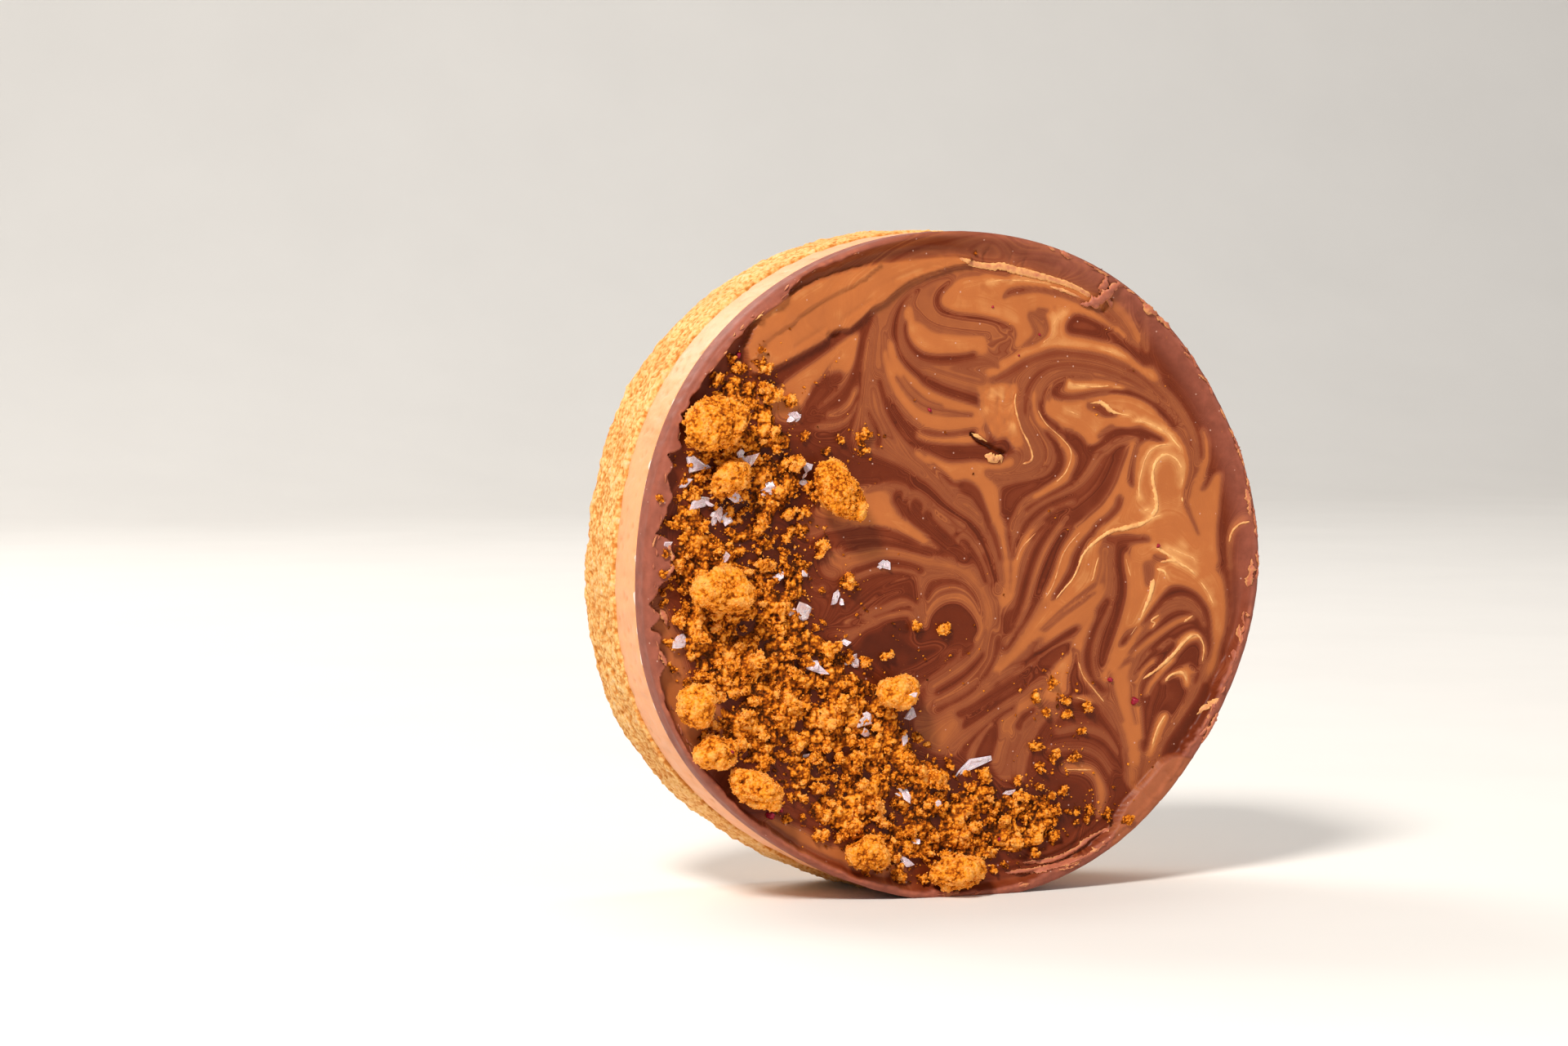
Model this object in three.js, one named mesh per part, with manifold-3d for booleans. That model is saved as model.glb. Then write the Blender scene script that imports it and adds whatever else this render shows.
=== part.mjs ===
// A round caramel shortbread standing on its rim: a crumbly shortbread base, a layer of set caramel and a
// marbled chocolate top with a torn rim. A crescent of biscuit crumbs with lumps and salt flakes lies on one
// side of the face, and stray crumbs on the rest.
// Millimetres, +Z up. The marbled face looks along -Y. The origin is on the floor, under the box's middle.
// Faces are worked out in the disc's own frame: x to the right, z up, from its centre, and y backwards
// from the plane of the chocolate's rim. The group then lifts the disc onto its foot.

import * as THREE from "three";
import { mergeVertices } from "three/addons/utils/BufferGeometryUtils.js";
import Module from "manifold-3d";

const wasm = await Module();
wasm.setup();

// ---- Driving dimensions ----

const RADIUS = 40; // of the round, before its outline's waves
const CHOCOLATE_THICKNESS = 3.8;
const CARAMEL_THICKNESS = 6.9;
const SHORTBREAD_THICKNESS = 10.8;
const LAYER_GAP = 0.1; // between layers that touch
const RESTING_GAP = 0.3; // between a topping and what it lies on
const FOOT_HALF_WIDTH = 6.5; // of the flat spot that the round stands on
const SIT = { x: -0.2, y: -8.83 }; // brings the middle of the box over the origin

const POOL_DEPTH = 1.4; // of the marbled face behind the rim
const RIM_ROUNDING = { width: 0.5, depth: 0.3 }; // of the chocolate's outer edge
const CARAMEL_SAG = 0.08; // unevenness of the caramel's side
const SHORTBREAD_EDGE = 2.2; // rounding of the base's back edge
const SHORTBREAD_ROUGHNESS = 0.45; // height of its crags
const SHORTBREAD_GRAIN = 1.6; // width of its crags
const SEGMENTS = { chocolate: 120, caramel: 84, shortbread: 96 }; // round each layer

const CORE_THICKNESS = 0.7; // of the packed fine crumbs under the crescent
const CORE_REACH = 1.2; // how far round a place the core keeps clear of the chocolate
const CORE_ENDS = 0.02; // of the crescent's length, left to crumbs alone at each end
const [CORE_INSIDE, CORE_OUTSIDE] = [0.05, 0.88]; // of the crescent's width, where the core lies
const CORE_LIMIT = 35.3; // the core lies inside this radius
const CRESCENT_MARGIN = { aside: 2.2, degrees: 4 }; // kept free of stray crumbs round the crescent

const CRUMB_SIZES = { largest: 1.6, smallest: 0.75, plain: 1.05, count: 115 }; // radii
const CRUMB_SPACING = 0.88; // between crumbs, as a share of their radii together
const CRUMB_REACH = 0.7; // how far round a crumb's corner it keeps clear of the chocolate
const CRUMB_UNEVENNESS = 0.22; // of a crumb's corners, as a share of its radius
const STRAY_SIZES = { largest: 0.85, smallest: 0.45 };
const STRAY_SINK = 0.6; // of a stray crumb's radius, held in the chocolate

// The outline's waves: how many times round, how high, and where the first one peaks.
const OUTLINE_WAVES = [
  { times: 2, height: 0.07, turn: -0.73 },
  { times: 4, height: 0.17, turn: 1.61 },
  { times: 5, height: 0.29, turn: -0.48 },
  { times: 7, height: 0.09, turn: -0.07 },
];

// Going round the face, in degrees from +X towards +Z: the width of the rim's flat land and of the slope
// from it down to the marbled pool. Torn rims have a short, steep slope.
const RIM = [
  { at: -82, land: 0.9, slope: 1.1 },
  { at: -66, land: 1.2, slope: 0.7 },
  { at: -40, land: 1.3, slope: 0.6 },
  { at: -8, land: 0.8, slope: 1.0 },
  { at: 8, land: 0.3, slope: 3.6 },
  { at: 62, land: 0.3, slope: 3.6 },
  { at: 84, land: 0.3, slope: 2.6 },
  { at: 106, land: 0.6, slope: 2.0 },
  { at: 124, land: 2.6, slope: 0.7 },
  { at: 152, land: 2.3, slope: 0.5 },
  { at: 188, land: 1.9, slope: 0.4 },
  { at: 214, land: 1.1, slope: 0.7 },
  { at: 240, land: 0.8, slope: 0.9 },
  { at: 278, land: 0.9, slope: 1.1 },
];
const TORN_FROM = 108; // the land's inner edge is ragged from here, by way of 180, to
const TORN_TO = 352;
const TORN_DEPTH = 0.55; // of the notches in it

// Laps of caramel chocolate smeared over the rim: their angles, their inner and outer distance from the
// outer edge, and how far their surface lies behind the rim's plane.
const LAPS = [
  { from: 88, to: 139, inner: 6.6, outer: 2.1, level: 0.55 },
  { from: -63, to: -38, inner: 3.9, outer: 0.0, level: 0.12 },
];
const LAP_EDGE = 0.35; // width of a lap's edge

// Folds of chocolate along the foot of the rim.
const FOLDS = { from: -86, to: -60, distances: [2.3, 3.4], height: 0.5, width: 0.45 };

// Chocolate shavings that stand up from the torn rim: angle, distance from the outer edge, length, width.
const SHAVINGS = [
  { at: 59.5, edge: 2.9, length: 5.0, width: 1.3 },
  { at: 50.5, edge: 0.6, length: 2.4, width: 0.9 },
  { at: 31, edge: 0.4, length: 2.0, width: 0.7 },
  { at: 11, edge: 0.5, length: 2.6, width: 0.8 },
  { at: -2.5, edge: 0.9, length: 2.3, width: 1.1 },
  { at: 163, edge: 2.6, length: 2.6, width: 1.1 },
  { at: 176, edge: 2.4, length: 2.8, width: 1.2 },
  { at: 196, edge: 1.9, length: 2.2, width: 0.9 },
];
const SHAVING_THICKNESS = 0.4;
const SHAVING_LIFT = 0.35; // of a shaving's middle over its ends
const SHAVING_SINK = 0.25; // of a shaving into the rim
const SHAVING_LEAN = 0.15; // at most, off the rim's direction
const SHAVING_RAG = 0.25; // of its width, torn from its sides

// The crescent of crumbs: how near the disc's centre and how far from it the crumbs reach, by angle.
const CRESCENT = [
  { at: 136, inner: 31.5, outer: 36.0 },
  { at: 144, inner: 26.5, outer: 36.6 },
  { at: 156, inner: 21.0, outer: 36.8 },
  { at: 176, inner: 17.6, outer: 36.6 },
  { at: 198, inner: 19.0, outer: 35.6 },
  { at: 218, inner: 17.2, outer: 35.2 },
  { at: 240, inner: 17.0, outer: 34.6 },
  { at: 254, inner: 21.5, outer: 36.0 },
  { at: 270, inner: 25.0, outer: 36.6 },
  { at: 284, inner: 28.0, outer: 35.8 },
  { at: 296, inner: 32.0, outer: 35.6 },
];

// Biscuit lumps: centre, and half of their length, of their width and of how far they stand out.
const LUMPS = [
  { x: -31.6, z: 17.3, long: 4.7, wide: 3.4, high: 2.3, turn: 0.25 },
  { x: -15.9, z: 9.4, long: 4.6, wide: 2.5, high: 2.2, turn: -0.95 },
  { x: -30.8, z: -2.1, long: 3.7, wide: 2.8, high: 2.4, turn: -0.1 },
  { x: -34.0, z: -15.2, long: 2.7, wide: 2.1, high: 1.9, turn: 1.35 },
  { x: -31.6, z: -20.6, long: 3.0, wide: 2.1, high: 2.0, turn: -0.1 },
  { x: -26.7, z: -25.4, long: 4.0, wide: 2.2, high: 2.2, turn: -0.45 },
  { x: -8.4, z: -14.6, long: 2.9, wide: 2.1, high: 1.9, turn: 0.15 },
  { x: -0.8, z: -36.4, long: 4.1, wide: 2.3, high: 2.1, turn: 0.05 },
  { x: -11.9, z: -33.9, long: 2.8, wide: 1.9, high: 1.8, turn: -0.2 },
  { x: -29.4, z: 11.0, long: 2.8, wide: 2.1, high: 1.7, turn: 0.5 },
];
const LUMP_ROUGHNESS = 0.34; // as a share of its size
const LUMP_GRAIN = 2.4; // crags across half a lump

// Groups of stray crumbs on the marbled face: middle, spread and number.
const STRAYS = [
  { x: 13.0, z: -16.0, spread: 3.2, count: 7 },
  { x: 13.5, z: -22.0, spread: 3.2, count: 7 },
  { x: 21.0, z: -27.5, spread: 2.6, count: 4 },
  { x: -4.0, z: -8.0, spread: 3.4, count: 3 },
  { x: -12.5, z: -2.0, spread: 1.4, count: 2 },
  { x: -12.0, z: 15.0, spread: 1.8, count: 3 },
];

// The largest salt flakes: middle, length and turn in the face. Some lie on the bare chocolate.
const SALT_ON_CHOCOLATE = [
  { x: 2.4, z: -23.7, length: 5.2, turn: 0.45 },
  { x: -9.2, z: 0.4, length: 1.9, turn: -0.3 },
  { x: -20.9, z: 18.0, length: 1.9, turn: 0.2 },
];
const SALT_ON_CRUMBS = [
  { x: -29.8, z: 7.0, length: 3.2, turn: -0.6 },
  { x: -33.0, z: 12.7, length: 3.6, turn: -0.35 },
  { x: -26.8, z: 12.9, length: 2.4, turn: 1.1 },
  { x: -23.8, z: 9.5, length: 3.0, turn: 0.1 },
  { x: -19.6, z: -5.4, length: 3.4, turn: -0.8 },
  { x: -18.0, z: -11.4, length: 3.2, turn: -0.7 },
  { x: -32.6, z: -8.0, length: 2.3, turn: 0.4 },
  { x: -7.0, z: -20.4, length: 2.4, turn: 1.3 },
  { x: -6.4, z: -27.0, length: 2.0, turn: -0.9 },
];
const SALT_THICKNESS = 0.45;
const SALT_LEAN = 0.5; // at most, in radians
const SALT_WIDTH = 0.6; // of a flake, as a share of its length
const SALT_UNEVENNESS = 0.2; // of a flake's corners, as a share of its length

const CENTRE_HEIGHT = Math.sqrt(RADIUS ** 2 - FOOT_HALF_WIDTH ** 2);
const DEGREE = Math.PI / 180;

const MATERIALS = {
  shortbread: new THREE.MeshStandardMaterial({ color: 0xe9c28a, roughness: 0.95, metalness: 0 }),
  caramel: new THREE.MeshStandardMaterial({ color: 0xe8b07a, roughness: 0.45, metalness: 0 }),
  chocolate: new THREE.MeshStandardMaterial({ color: 0x7b4a38, roughness: 0.4, metalness: 0 }),
  crumb: new THREE.MeshStandardMaterial({ color: 0xcf8a34, roughness: 0.95, metalness: 0 }),
};

// ---- Numbers: seeded draws, noise and steps ----

// A seeded source of random numbers from 0 to 1.
function seededRandom(seed) {
  let state = seed >>> 0;
  return () => {
    state = (state + 0x6d2b79f5) >>> 0;
    let mixed = Math.imul(state ^ (state >>> 15), 1 | state);
    mixed = (mixed + Math.imul(mixed ^ (mixed >>> 7), 61 | mixed)) ^ mixed;
    return ((mixed ^ (mixed >>> 14)) >>> 0) / 4294967296;
  };
}

// A fixed number from -1 to 1 for each corner of a lattice.
function latticeValue(i, j, k) {
  return seededRandom(i * 374761393 + j * 668265263 + k * 2147483647 + 1013904223)() * 2 - 1;
}

const eased = (t) => t * t * (3 - 2 * t);
const smoothStep = (from, to, value) => eased(THREE.MathUtils.clamp((value - from) / (to - from), 0, 1));
const mix = THREE.MathUtils.lerp;

// Smooth noise from -1 to 1.
function noise(x, y, z) {
  const corner = [x, y, z].map(Math.floor);
  const [u, v, w] = [x - corner[0], y - corner[1], z - corner[2]].map(eased);
  const at = (i, j, k) => latticeValue(corner[0] + i, corner[1] + j, corner[2] + k);
  const row = (j, k) => mix(at(0, j, k), at(1, j, k), u);
  return mix(mix(row(0, 0), row(1, 0), v), mix(row(0, 1), row(1, 1), v), w);
}

// Reads one value of a table that goes round the face, smoothly, at an angle in degrees.
function around(table, key, degrees) {
  const first = table[0].at;
  const turned = THREE.MathUtils.euclideanModulo(degrees - first, 360) + first;
  let after = table.findIndex((row) => row.at > turned);
  const before = after === -1 ? table.length - 1 : after - 1;
  after = after === -1 ? 0 : after;
  const start = table[before].at;
  const end = table[after].at + (after === 0 ? 360 : 0);
  return mix(table[before][key], table[after][key], smoothStep(start, end, turned));
}

// ---- The face of the chocolate ----

const outlineRadius = (angle) =>
  OUTLINE_WAVES.reduce((sum, w) => sum + w.height * Math.cos(w.times * angle - w.turn), RADIUS);

const isBetween = (from, to, degrees) => THREE.MathUtils.euclideanModulo(degrees - from, 360) < to - from;

// The ragged part of the land's width at an angle.
function tornWidth(degrees) {
  if (!isBetween(TORN_FROM, TORN_TO, degrees)) {
    return 0;
  }
  const coarse = noise(degrees / 5.5, 7.3, 0);
  const fine = noise(degrees / 2.2, 1.9, 4);
  return TORN_DEPTH * (coarse + 0.6 * fine);
}

// How much of a lap covers a place, from 0 to 1.
function lapCover(lap, degrees, fromEdge) {
  const middle = (lap.from + lap.to) / 2;
  const reach = (lap.to - lap.from) / 2;
  const away = Math.abs(THREE.MathUtils.euclideanModulo(degrees - middle + 180, 360) - 180) / reach;
  if (away >= 1) {
    return 0;
  }
  const leaf = Math.sqrt(1 - away * away);
  const heart = (lap.inner + lap.outer) / 2;
  const half = (leaf * (lap.inner - lap.outer)) / 2;
  return lap.outer === 0
    ? smoothStep(leaf * lap.inner + LAP_EDGE, leaf * lap.inner, fromEdge)
    : smoothStep(half + LAP_EDGE, half, Math.abs(fromEdge - heart));
}

// How high a fold stands at a place.
function foldHeight(degrees, fromEdge) {
  const away = Math.abs(degrees - (FOLDS.from + FOLDS.to) / 2) / ((FOLDS.to - FOLDS.from) / 2);
  const along = away < 1 ? 1 - away * away : 0;
  return FOLDS.distances.reduce((sum, distance) => {
    const across = (fromEdge - distance) / FOLDS.width;
    return sum + FOLDS.height * along * Math.exp(-across * across);
  }, 0);
}

// How far the chocolate's face lies behind the rim's plane.
function faceDepth(x, z) {
  const angle = Math.atan2(z, x);
  const degrees = angle / DEGREE;
  const fromEdge = outlineRadius(angle) - Math.hypot(x, z);
  const land = Math.max(around(RIM, "land", degrees) + tornWidth(degrees), 0.1);
  const slope = around(RIM, "slope", degrees);
  let depth = POOL_DEPTH * smoothStep(land, land + slope, fromEdge);
  for (const lap of LAPS) {
    depth = mix(depth, Math.min(depth, lap.level), lapCover(lap, degrees, fromEdge));
  }
  depth -= foldHeight(degrees, fromEdge);
  const rounding = Math.max(1 - Math.max(fromEdge, 0) / RIM_ROUNDING.width, 0);
  return Math.max(depth, 0) + RIM_ROUNDING.depth * rounding * rounding;
}

// ---- Closed meshes ----

// A closed body of turned rings: ring(i, angle) gives {radius, y}, and the poles' y close both ends.
function turned(ringCount, segments, frontPole, backPole, ring) {
  const positions = [];
  const indices = [];
  for (let i = 0; i < ringCount; i++) {
    for (let j = 0; j < segments; j++) {
      const angle = (j / segments) * 2 * Math.PI;
      const { radius, y } = ring(i, angle);
      positions.push(radius * Math.cos(angle), y, radius * Math.sin(angle));
    }
  }
  const front = ringCount * segments;
  const back = front + 1;
  positions.push(0, frontPole, 0, 0, backPole, 0);
  for (let j = 0; j < segments; j++) {
    const next = (j + 1) % segments;
    indices.push(front, j, next);
    for (let i = 0; i + 1 < ringCount; i++) {
      const here = i * segments;
      const there = here + segments;
      indices.push(here + j, there + j, there + next, here + j, there + next, here + next);
    }
    const last = (ringCount - 1) * segments;
    indices.push(back, last + next, last + j);
  }
  return meshOf(positions, indices);
}

// A closed slab over a grid: front(u, v) and back(u, v) give its two faces, with u and v from 0 to 1.
function slab(columns, rows, front, back) {
  const positions = [];
  const indices = [];
  for (const face of [front, back]) {
    for (let j = 0; j <= rows; j++) {
      for (let i = 0; i <= columns; i++) {
        positions.push(...face(i / columns, j / rows));
      }
    }
  }
  const wide = columns + 1;
  const behind = wide * (rows + 1);
  const quad = (a, b, c, d) => indices.push(a, b, c, a, c, d);
  for (let j = 0; j < rows; j++) {
    for (let i = 0; i < columns; i++) {
      const a = j * wide + i;
      quad(a, a + 1, a + wide + 1, a + wide);
      quad(behind + a, behind + a + wide, behind + a + wide + 1, behind + a + 1);
    }
    const [left, right] = [j * wide, j * wide + columns];
    quad(left, left + wide, behind + left + wide, behind + left);
    quad(right + wide, right, behind + right, behind + right + wide);
  }
  for (let i = 0; i < columns; i++) {
    const top = rows * wide + i;
    quad(i + 1, i, behind + i, behind + i + 1);
    quad(top, top + 1, behind + top + 1, behind + top);
  }
  return meshOf(positions, indices);
}

function meshOf(positions, indices) {
  const geometry = new THREE.BufferGeometry();
  geometry.setAttribute("position", new THREE.BufferAttribute(new Float32Array(positions), 3));
  geometry.setIndex(indices);
  return geometry;
}

// A geometry as a solid that can be joined and cut, facing outwards.
function solidOf(geometry) {
  const merged = mergeVertices(geometry, 1e-4);
  const vertProperties = new Float32Array(merged.attributes.position.array);
  const triVerts = new Uint32Array(merged.index.array);
  const solid = new wasm.Manifold(new wasm.Mesh({ numProp: 3, vertProperties, triVerts }));
  return solid.volume() > 0 ? solid : solidOf(flipped(merged));
}

function flipped(geometry) {
  const copy = geometry.clone();
  const index = copy.index.array;
  for (let i = 0; i < index.length; i += 3) {
    [index[i], index[i + 1]] = [index[i + 1], index[i]];
  }
  return copy;
}

function geometryOf(solid) {
  const mesh = solid.getMesh();
  const geometry = meshOf(Array.from(mesh.vertProperties), Array.from(mesh.triVerts));
  geometry.computeVertexNormals();
  return geometry;
}

// The one body of a solid that has the most volume, without loose scraps.
function largestBody(solid) {
  return solid.decompose().reduce((best, body) => (body.volume() > best.volume() ? body : best));
}

// Several solids as one.
const joined = (solids) => solids.reduce((whole, piece) => whole.add(piece));

// Cuts off what would reach below the floor, which leaves the flat foot.
function standing(solid) {
  const under = new THREE.BoxGeometry(3 * RADIUS, 3 * RADIUS, RADIUS);
  under.translate(0, 0, -CENTRE_HEIGHT - RADIUS / 2);
  return solid.subtract(solidOf(bare(under)));
}

// ---- Small toppings ----

// A geometry with only its corners, each shared by the faces round it.
function bare(geometry) {
  geometry.deleteAttribute("normal");
  geometry.deleteAttribute("uv");
  return mergeVertices(geometry);
}

// Moves every corner of a geometry by a function of its place.
function reshape(geometry, change) {
  const corners = geometry.attributes.position;
  const point = new THREE.Vector3();
  for (let i = 0; i < corners.count; i++) {
    change(point.fromBufferAttribute(corners, i));
    corners.setXYZ(i, point.x, point.y, point.z);
  }
  return geometry;
}

// Sets a geometry down at a place on a surface. It sinks in, or keeps clear where that is negative.
function setDown(geometry, x, z, surface, sunk) {
  geometry.translate(x, 0, z);
  const corners = geometry.attributes.position;
  let room = Infinity;
  for (let i = 0; i < corners.count; i++) {
    room = Math.min(room, surface(corners.getX(i), corners.getZ(i)) - corners.getY(i));
  }
  return geometry.translate(0, room + sunk, 0);
}

// A rough grain with uneven corners, of fewer faces where it is small.
function grain(size, random) {
  const isPlain = size < CRUMB_SIZES.plain;
  const ball = isPlain ? new THREE.OctahedronGeometry(1.1 * size) : new THREE.IcosahedronGeometry(size);
  const uneven = (point) => point.multiplyScalar(1 + CRUMB_UNEVENNESS * (2 * random() - 1));
  return reshape(bare(ball), uneven).rotateX(random()).rotateY(random() * Math.PI);
}

// A lump of biscuit: an egg-shaped ball with crags.
function biscuitLump(lump, seed) {
  const craggy = (point) => {
    const crag = noise(point.x * LUMP_GRAIN + seed * 5, point.y * LUMP_GRAIN, point.z * LUMP_GRAIN);
    point.multiplyScalar(1 - (LUMP_ROUGHNESS / 2) * (1 - crag));
    point.set(point.x * lump.long, point.y * lump.high, point.z * lump.wide);
  };
  return reshape(bare(new THREE.IcosahedronGeometry(1, 2)), craggy).rotateY(-lump.turn);
}

// A salt flake: a thin uneven plate that leans out of the face.
function saltFlake({ length, turn }, random) {
  const uneven = (point) => {
    const stretch = length * (1 + SALT_UNEVENNESS * (2 * random() - 1));
    point.set(point.x * stretch, point.y, point.z * SALT_WIDTH * stretch);
  };
  const plate = reshape(bare(new THREE.CylinderGeometry(0.5, 0.5, SALT_THICKNESS, 6)), uneven);
  plate.rotateX(SALT_LEAN * (2 * random() - 1));
  plate.rotateZ(SALT_LEAN * (2 * random() - 1));
  return plate.rotateY(-turn);
}

// Where a shaving lies, as an oval in the face.
function shavingOval({ at, edge, length, width }) {
  const angle = at * DEGREE;
  const radius = outlineRadius(angle) - edge;
  const [x, z] = [radius * Math.cos(angle), radius * Math.sin(angle)];
  return { x, z, long: length / 2, wide: width / 2, turn: angle + Math.PI / 2 };
}

// A curled shaving that lies along the rim, with ragged sides, and sinks into it.
function shaving(row, random) {
  const { x, z, turn } = shavingOval(row);
  const lean = SHAVING_LEAN * (2 * random() - 1);
  const rag = [0, 1, 2, 3].map(() => 1 - SHAVING_RAG * random());
  const face = (offset) => (u, v) => {
    const along = (v - 0.5) * row.length;
    const across = (u - 0.5) * row.width * rag[Math.round(v * 3)] + lean * along;
    const lift = SHAVING_LIFT * Math.cos(Math.PI * (v - 0.5)) + offset;
    return [along, -lift, across];
  };
  const half = SHAVING_THICKNESS / 2;
  const strip = slab(1, 3, face(half), face(-half)).rotateY(-turn);
  return setDown(strip, x, z, faceDepth, SHAVING_SINK);
}

// ---- The crescent of crumbs ----

const CRESCENT_START = CRESCENT[0].at;
const CRESCENT_END = CRESCENT[CRESCENT.length - 1].at;

// A place in the crescent, with u from end to end and v from its inner to its outer edge.
function crescentPlace(u, v) {
  const degrees = mix(CRESCENT_START, CRESCENT_END, u);
  const radius = mix(around(CRESCENT, "inner", degrees), around(CRESCENT, "outer", degrees), v);
  return { x: radius * Math.cos(degrees * DEGREE), z: radius * Math.sin(degrees * DEGREE) };
}

// Whether a place lies in the crescent or at its edge.
function inCrescent(x, z) {
  const degrees = Math.atan2(z, x) / DEGREE;
  const radius = Math.hypot(x, z);
  const margin = CRESCENT_MARGIN;
  const isAlong = isBetween(CRESCENT_START - margin.degrees, CRESCENT_END + margin.degrees, degrees);
  const [inner, outer] = [around(CRESCENT, "inner", degrees), around(CRESCENT, "outer", degrees)];
  return isAlong && radius > inner - margin.aside && radius < outer + margin.aside;
}

// The face where it is highest within a reach of a place.
function highestFace(x, z, reach) {
  let depth = faceDepth(x, z);
  for (let i = 0; i < 12; i++) {
    const angle = (i / 12) * 2 * Math.PI;
    for (const share of [0.5, 1]) {
      const [aside, up] = [share * reach * Math.cos(angle), share * reach * Math.sin(angle)];
      depth = Math.min(depth, faceDepth(x + aside, z + up));
    }
  }
  return depth;
}

const coreBack = (x, z) => highestFace(x, z, CORE_REACH) - RESTING_GAP;
const underCrumb = (x, z) => highestFace(x, z, CRUMB_REACH);

// The packed fine crumbs that hold the crescent together.
function crescentCore() {
  const face = (thickness) => (u, v) => {
    const { x, z } = crescentPlace(mix(CORE_ENDS, 1 - CORE_ENDS, u), mix(CORE_INSIDE, CORE_OUTSIDE, v));
    const rough = thickness * (0.75 + 0.25 * noise(x / 2, z / 2, 3));
    return [x, coreBack(x, z) - rough, z];
  };
  return slab(34, 5, face(CORE_THICKNESS), face(0));
}

// Whether a ball would come too near one of some oval things.
function meets(ovals, x, z, size) {
  return ovals.some((oval) => {
    const along = (x - oval.x) * Math.cos(oval.turn) + (z - oval.z) * Math.sin(oval.turn);
    const across = -(x - oval.x) * Math.sin(oval.turn) + (z - oval.z) * Math.cos(oval.turn);
    const margin = size + RESTING_GAP;
    return Math.hypot(along / (oval.long + margin), across / (oval.wide + margin)) < 1;
  });
}

const clearOfFloor = (z, size) => z - size > -CENTRE_HEIGHT + RESTING_GAP;

// Crumbs over the crescent, the largest first, thrown until they lie apart.
function crescentCrumbs(random) {
  const placed = [];
  const { largest, smallest, count } = CRUMB_SIZES;
  for (let tries = 0; placed.length < count && tries < 60 * count; tries++) {
    const size = mix(largest, smallest, Math.sqrt(placed.length / count));
    const { x, z } = crescentPlace(random(), random());
    const isApart = (other) => Math.hypot(x - other.x, z - other.z) > CRUMB_SPACING * (size + other.size);
    const apart = placed.every(isApart);
    if (apart && clearOfFloor(z, size) && free(x, z, (1 + CRUMB_UNEVENNESS) * size)) {
      placed.push({ x, z, size });
    }
  }
  return placed;
}

// ---- The layers ----

function chocolateTop() {
  // The face's rings, by their distance from the outer edge, closer together over the rim.
  const face = [9, 6.2, 4.9, 4.0, 3.3, 2.6, 1.9, 1.3, 0.7, 0];
  // The side's rings: how far outside the outline, and how far back as a share of the thickness.
  const side = [
    [0.08, 0.33],
    [0.08, 0.75],
    [-0.05, 1],
  ];
  const ring = (i, angle) => {
    const outer = outlineRadius(angle);
    if (i < face.length) {
      const radius = outer - face[i];
      return { radius, y: faceDepth(radius * Math.cos(angle), radius * Math.sin(angle)) };
    }
    const [out, share] = side[i - face.length];
    return { radius: outer + out, y: CHOCOLATE_THICKNESS * share };
  };
  const rings = face.length + side.length;
  return turned(rings, SEGMENTS.chocolate, POOL_DEPTH, CHOCOLATE_THICKNESS, ring);
}

function caramelLayer() {
  const front = CHOCOLATE_THICKNESS + LAYER_GAP;
  const back = front + CARAMEL_THICKNESS;
  // Each ring: how far outside the outline, and how far back as a share of the thickness.
  const profile = [
    [-0.15, 0],
    [0.06, 0.18],
    [0.1, 0.6],
    [-0.1, 1],
  ];
  const ring = (i, angle) => {
    const [out, share] = profile[i];
    const sag = CARAMEL_SAG * noise(5 * Math.cos(angle), 5 * Math.sin(angle), share * 3);
    return { radius: outlineRadius(angle) + out + sag, y: mix(front, back, share) };
  };
  return turned(profile.length, SEGMENTS.caramel, front, back, ring);
}

function shortbreadBase() {
  const front = CHOCOLATE_THICKNESS + CARAMEL_THICKNESS + 2 * LAYER_GAP;
  const back = front + SHORTBREAD_THICKNESS;
  const edge = SHORTBREAD_EDGE;
  // Each ring: how far inside the outline, how far from the front, and how rough.
  const profile = [
    [0.5, 0, 0],
    [0.15, 0.5, 0.6],
    [0.0, 2.2, 1],
    [0.05, 4.0, 1],
    [0.0, 5.8, 1],
    [0.1, 7.4, 1],
    [0.15 + 0.08 * edge, SHORTBREAD_THICKNESS - 0.72 * edge, 1],
    [0.15 + 0.35 * edge, SHORTBREAD_THICKNESS - 0.25 * edge, 0.8],
    [0.15 + 1.1 * edge, SHORTBREAD_THICKNESS, 0.35],
  ];
  const ring = (i, angle) => {
    const [inside, fromFront, rough] = profile[i];
    const outer = outlineRadius(angle) - inside;
    const y = front + fromFront;
    const place = [outer * Math.cos(angle), y, outer * Math.sin(angle)].map((c) => c / SHORTBREAD_GRAIN);
    const crag = rough * SHORTBREAD_ROUGHNESS * noise(...place);
    const onBack = fromFront >= SHORTBREAD_THICKNESS;
    return onBack ? { radius: outer, y: y + crag } : { radius: outer + crag, y };
  };
  return turned(profile.length, SEGMENTS.shortbread, front, back, ring);
}

// ---- The whole ----

const random = seededRandom(20);
const flakeOvals = SALT_ON_CHOCOLATE.map(({ x, z, length, turn }) => {
  return { x, z, long: 0.6 * length, wide: 0.6 * length * SALT_WIDTH, turn };
});
const obstacles = [...LUMPS, ...SHAVINGS.map(shavingOval), ...flakeOvals];
const free = (x, z, size) => !meets(obstacles, x, z, size);

const inFrontOfCore = (x, z) => coreBack(x, z) - CORE_THICKNESS;
const underLump = (x, z) => (Math.hypot(x, z) < CORE_LIMIT ? inFrontOfCore(x, z) : underCrumb(x, z));
const lumps = LUMPS.map((lump, i) => {
  return solidOf(setDown(biscuitLump(lump, i), lump.x, lump.z, underLump, -RESTING_GAP));
});

const crumbs = crescentCrumbs(random);
const crumbSolids = crumbs.map(({ x, z, size }) => {
  return solidOf(setDown(grain(size, random), x, z, underCrumb, -RESTING_GAP));
});

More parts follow.
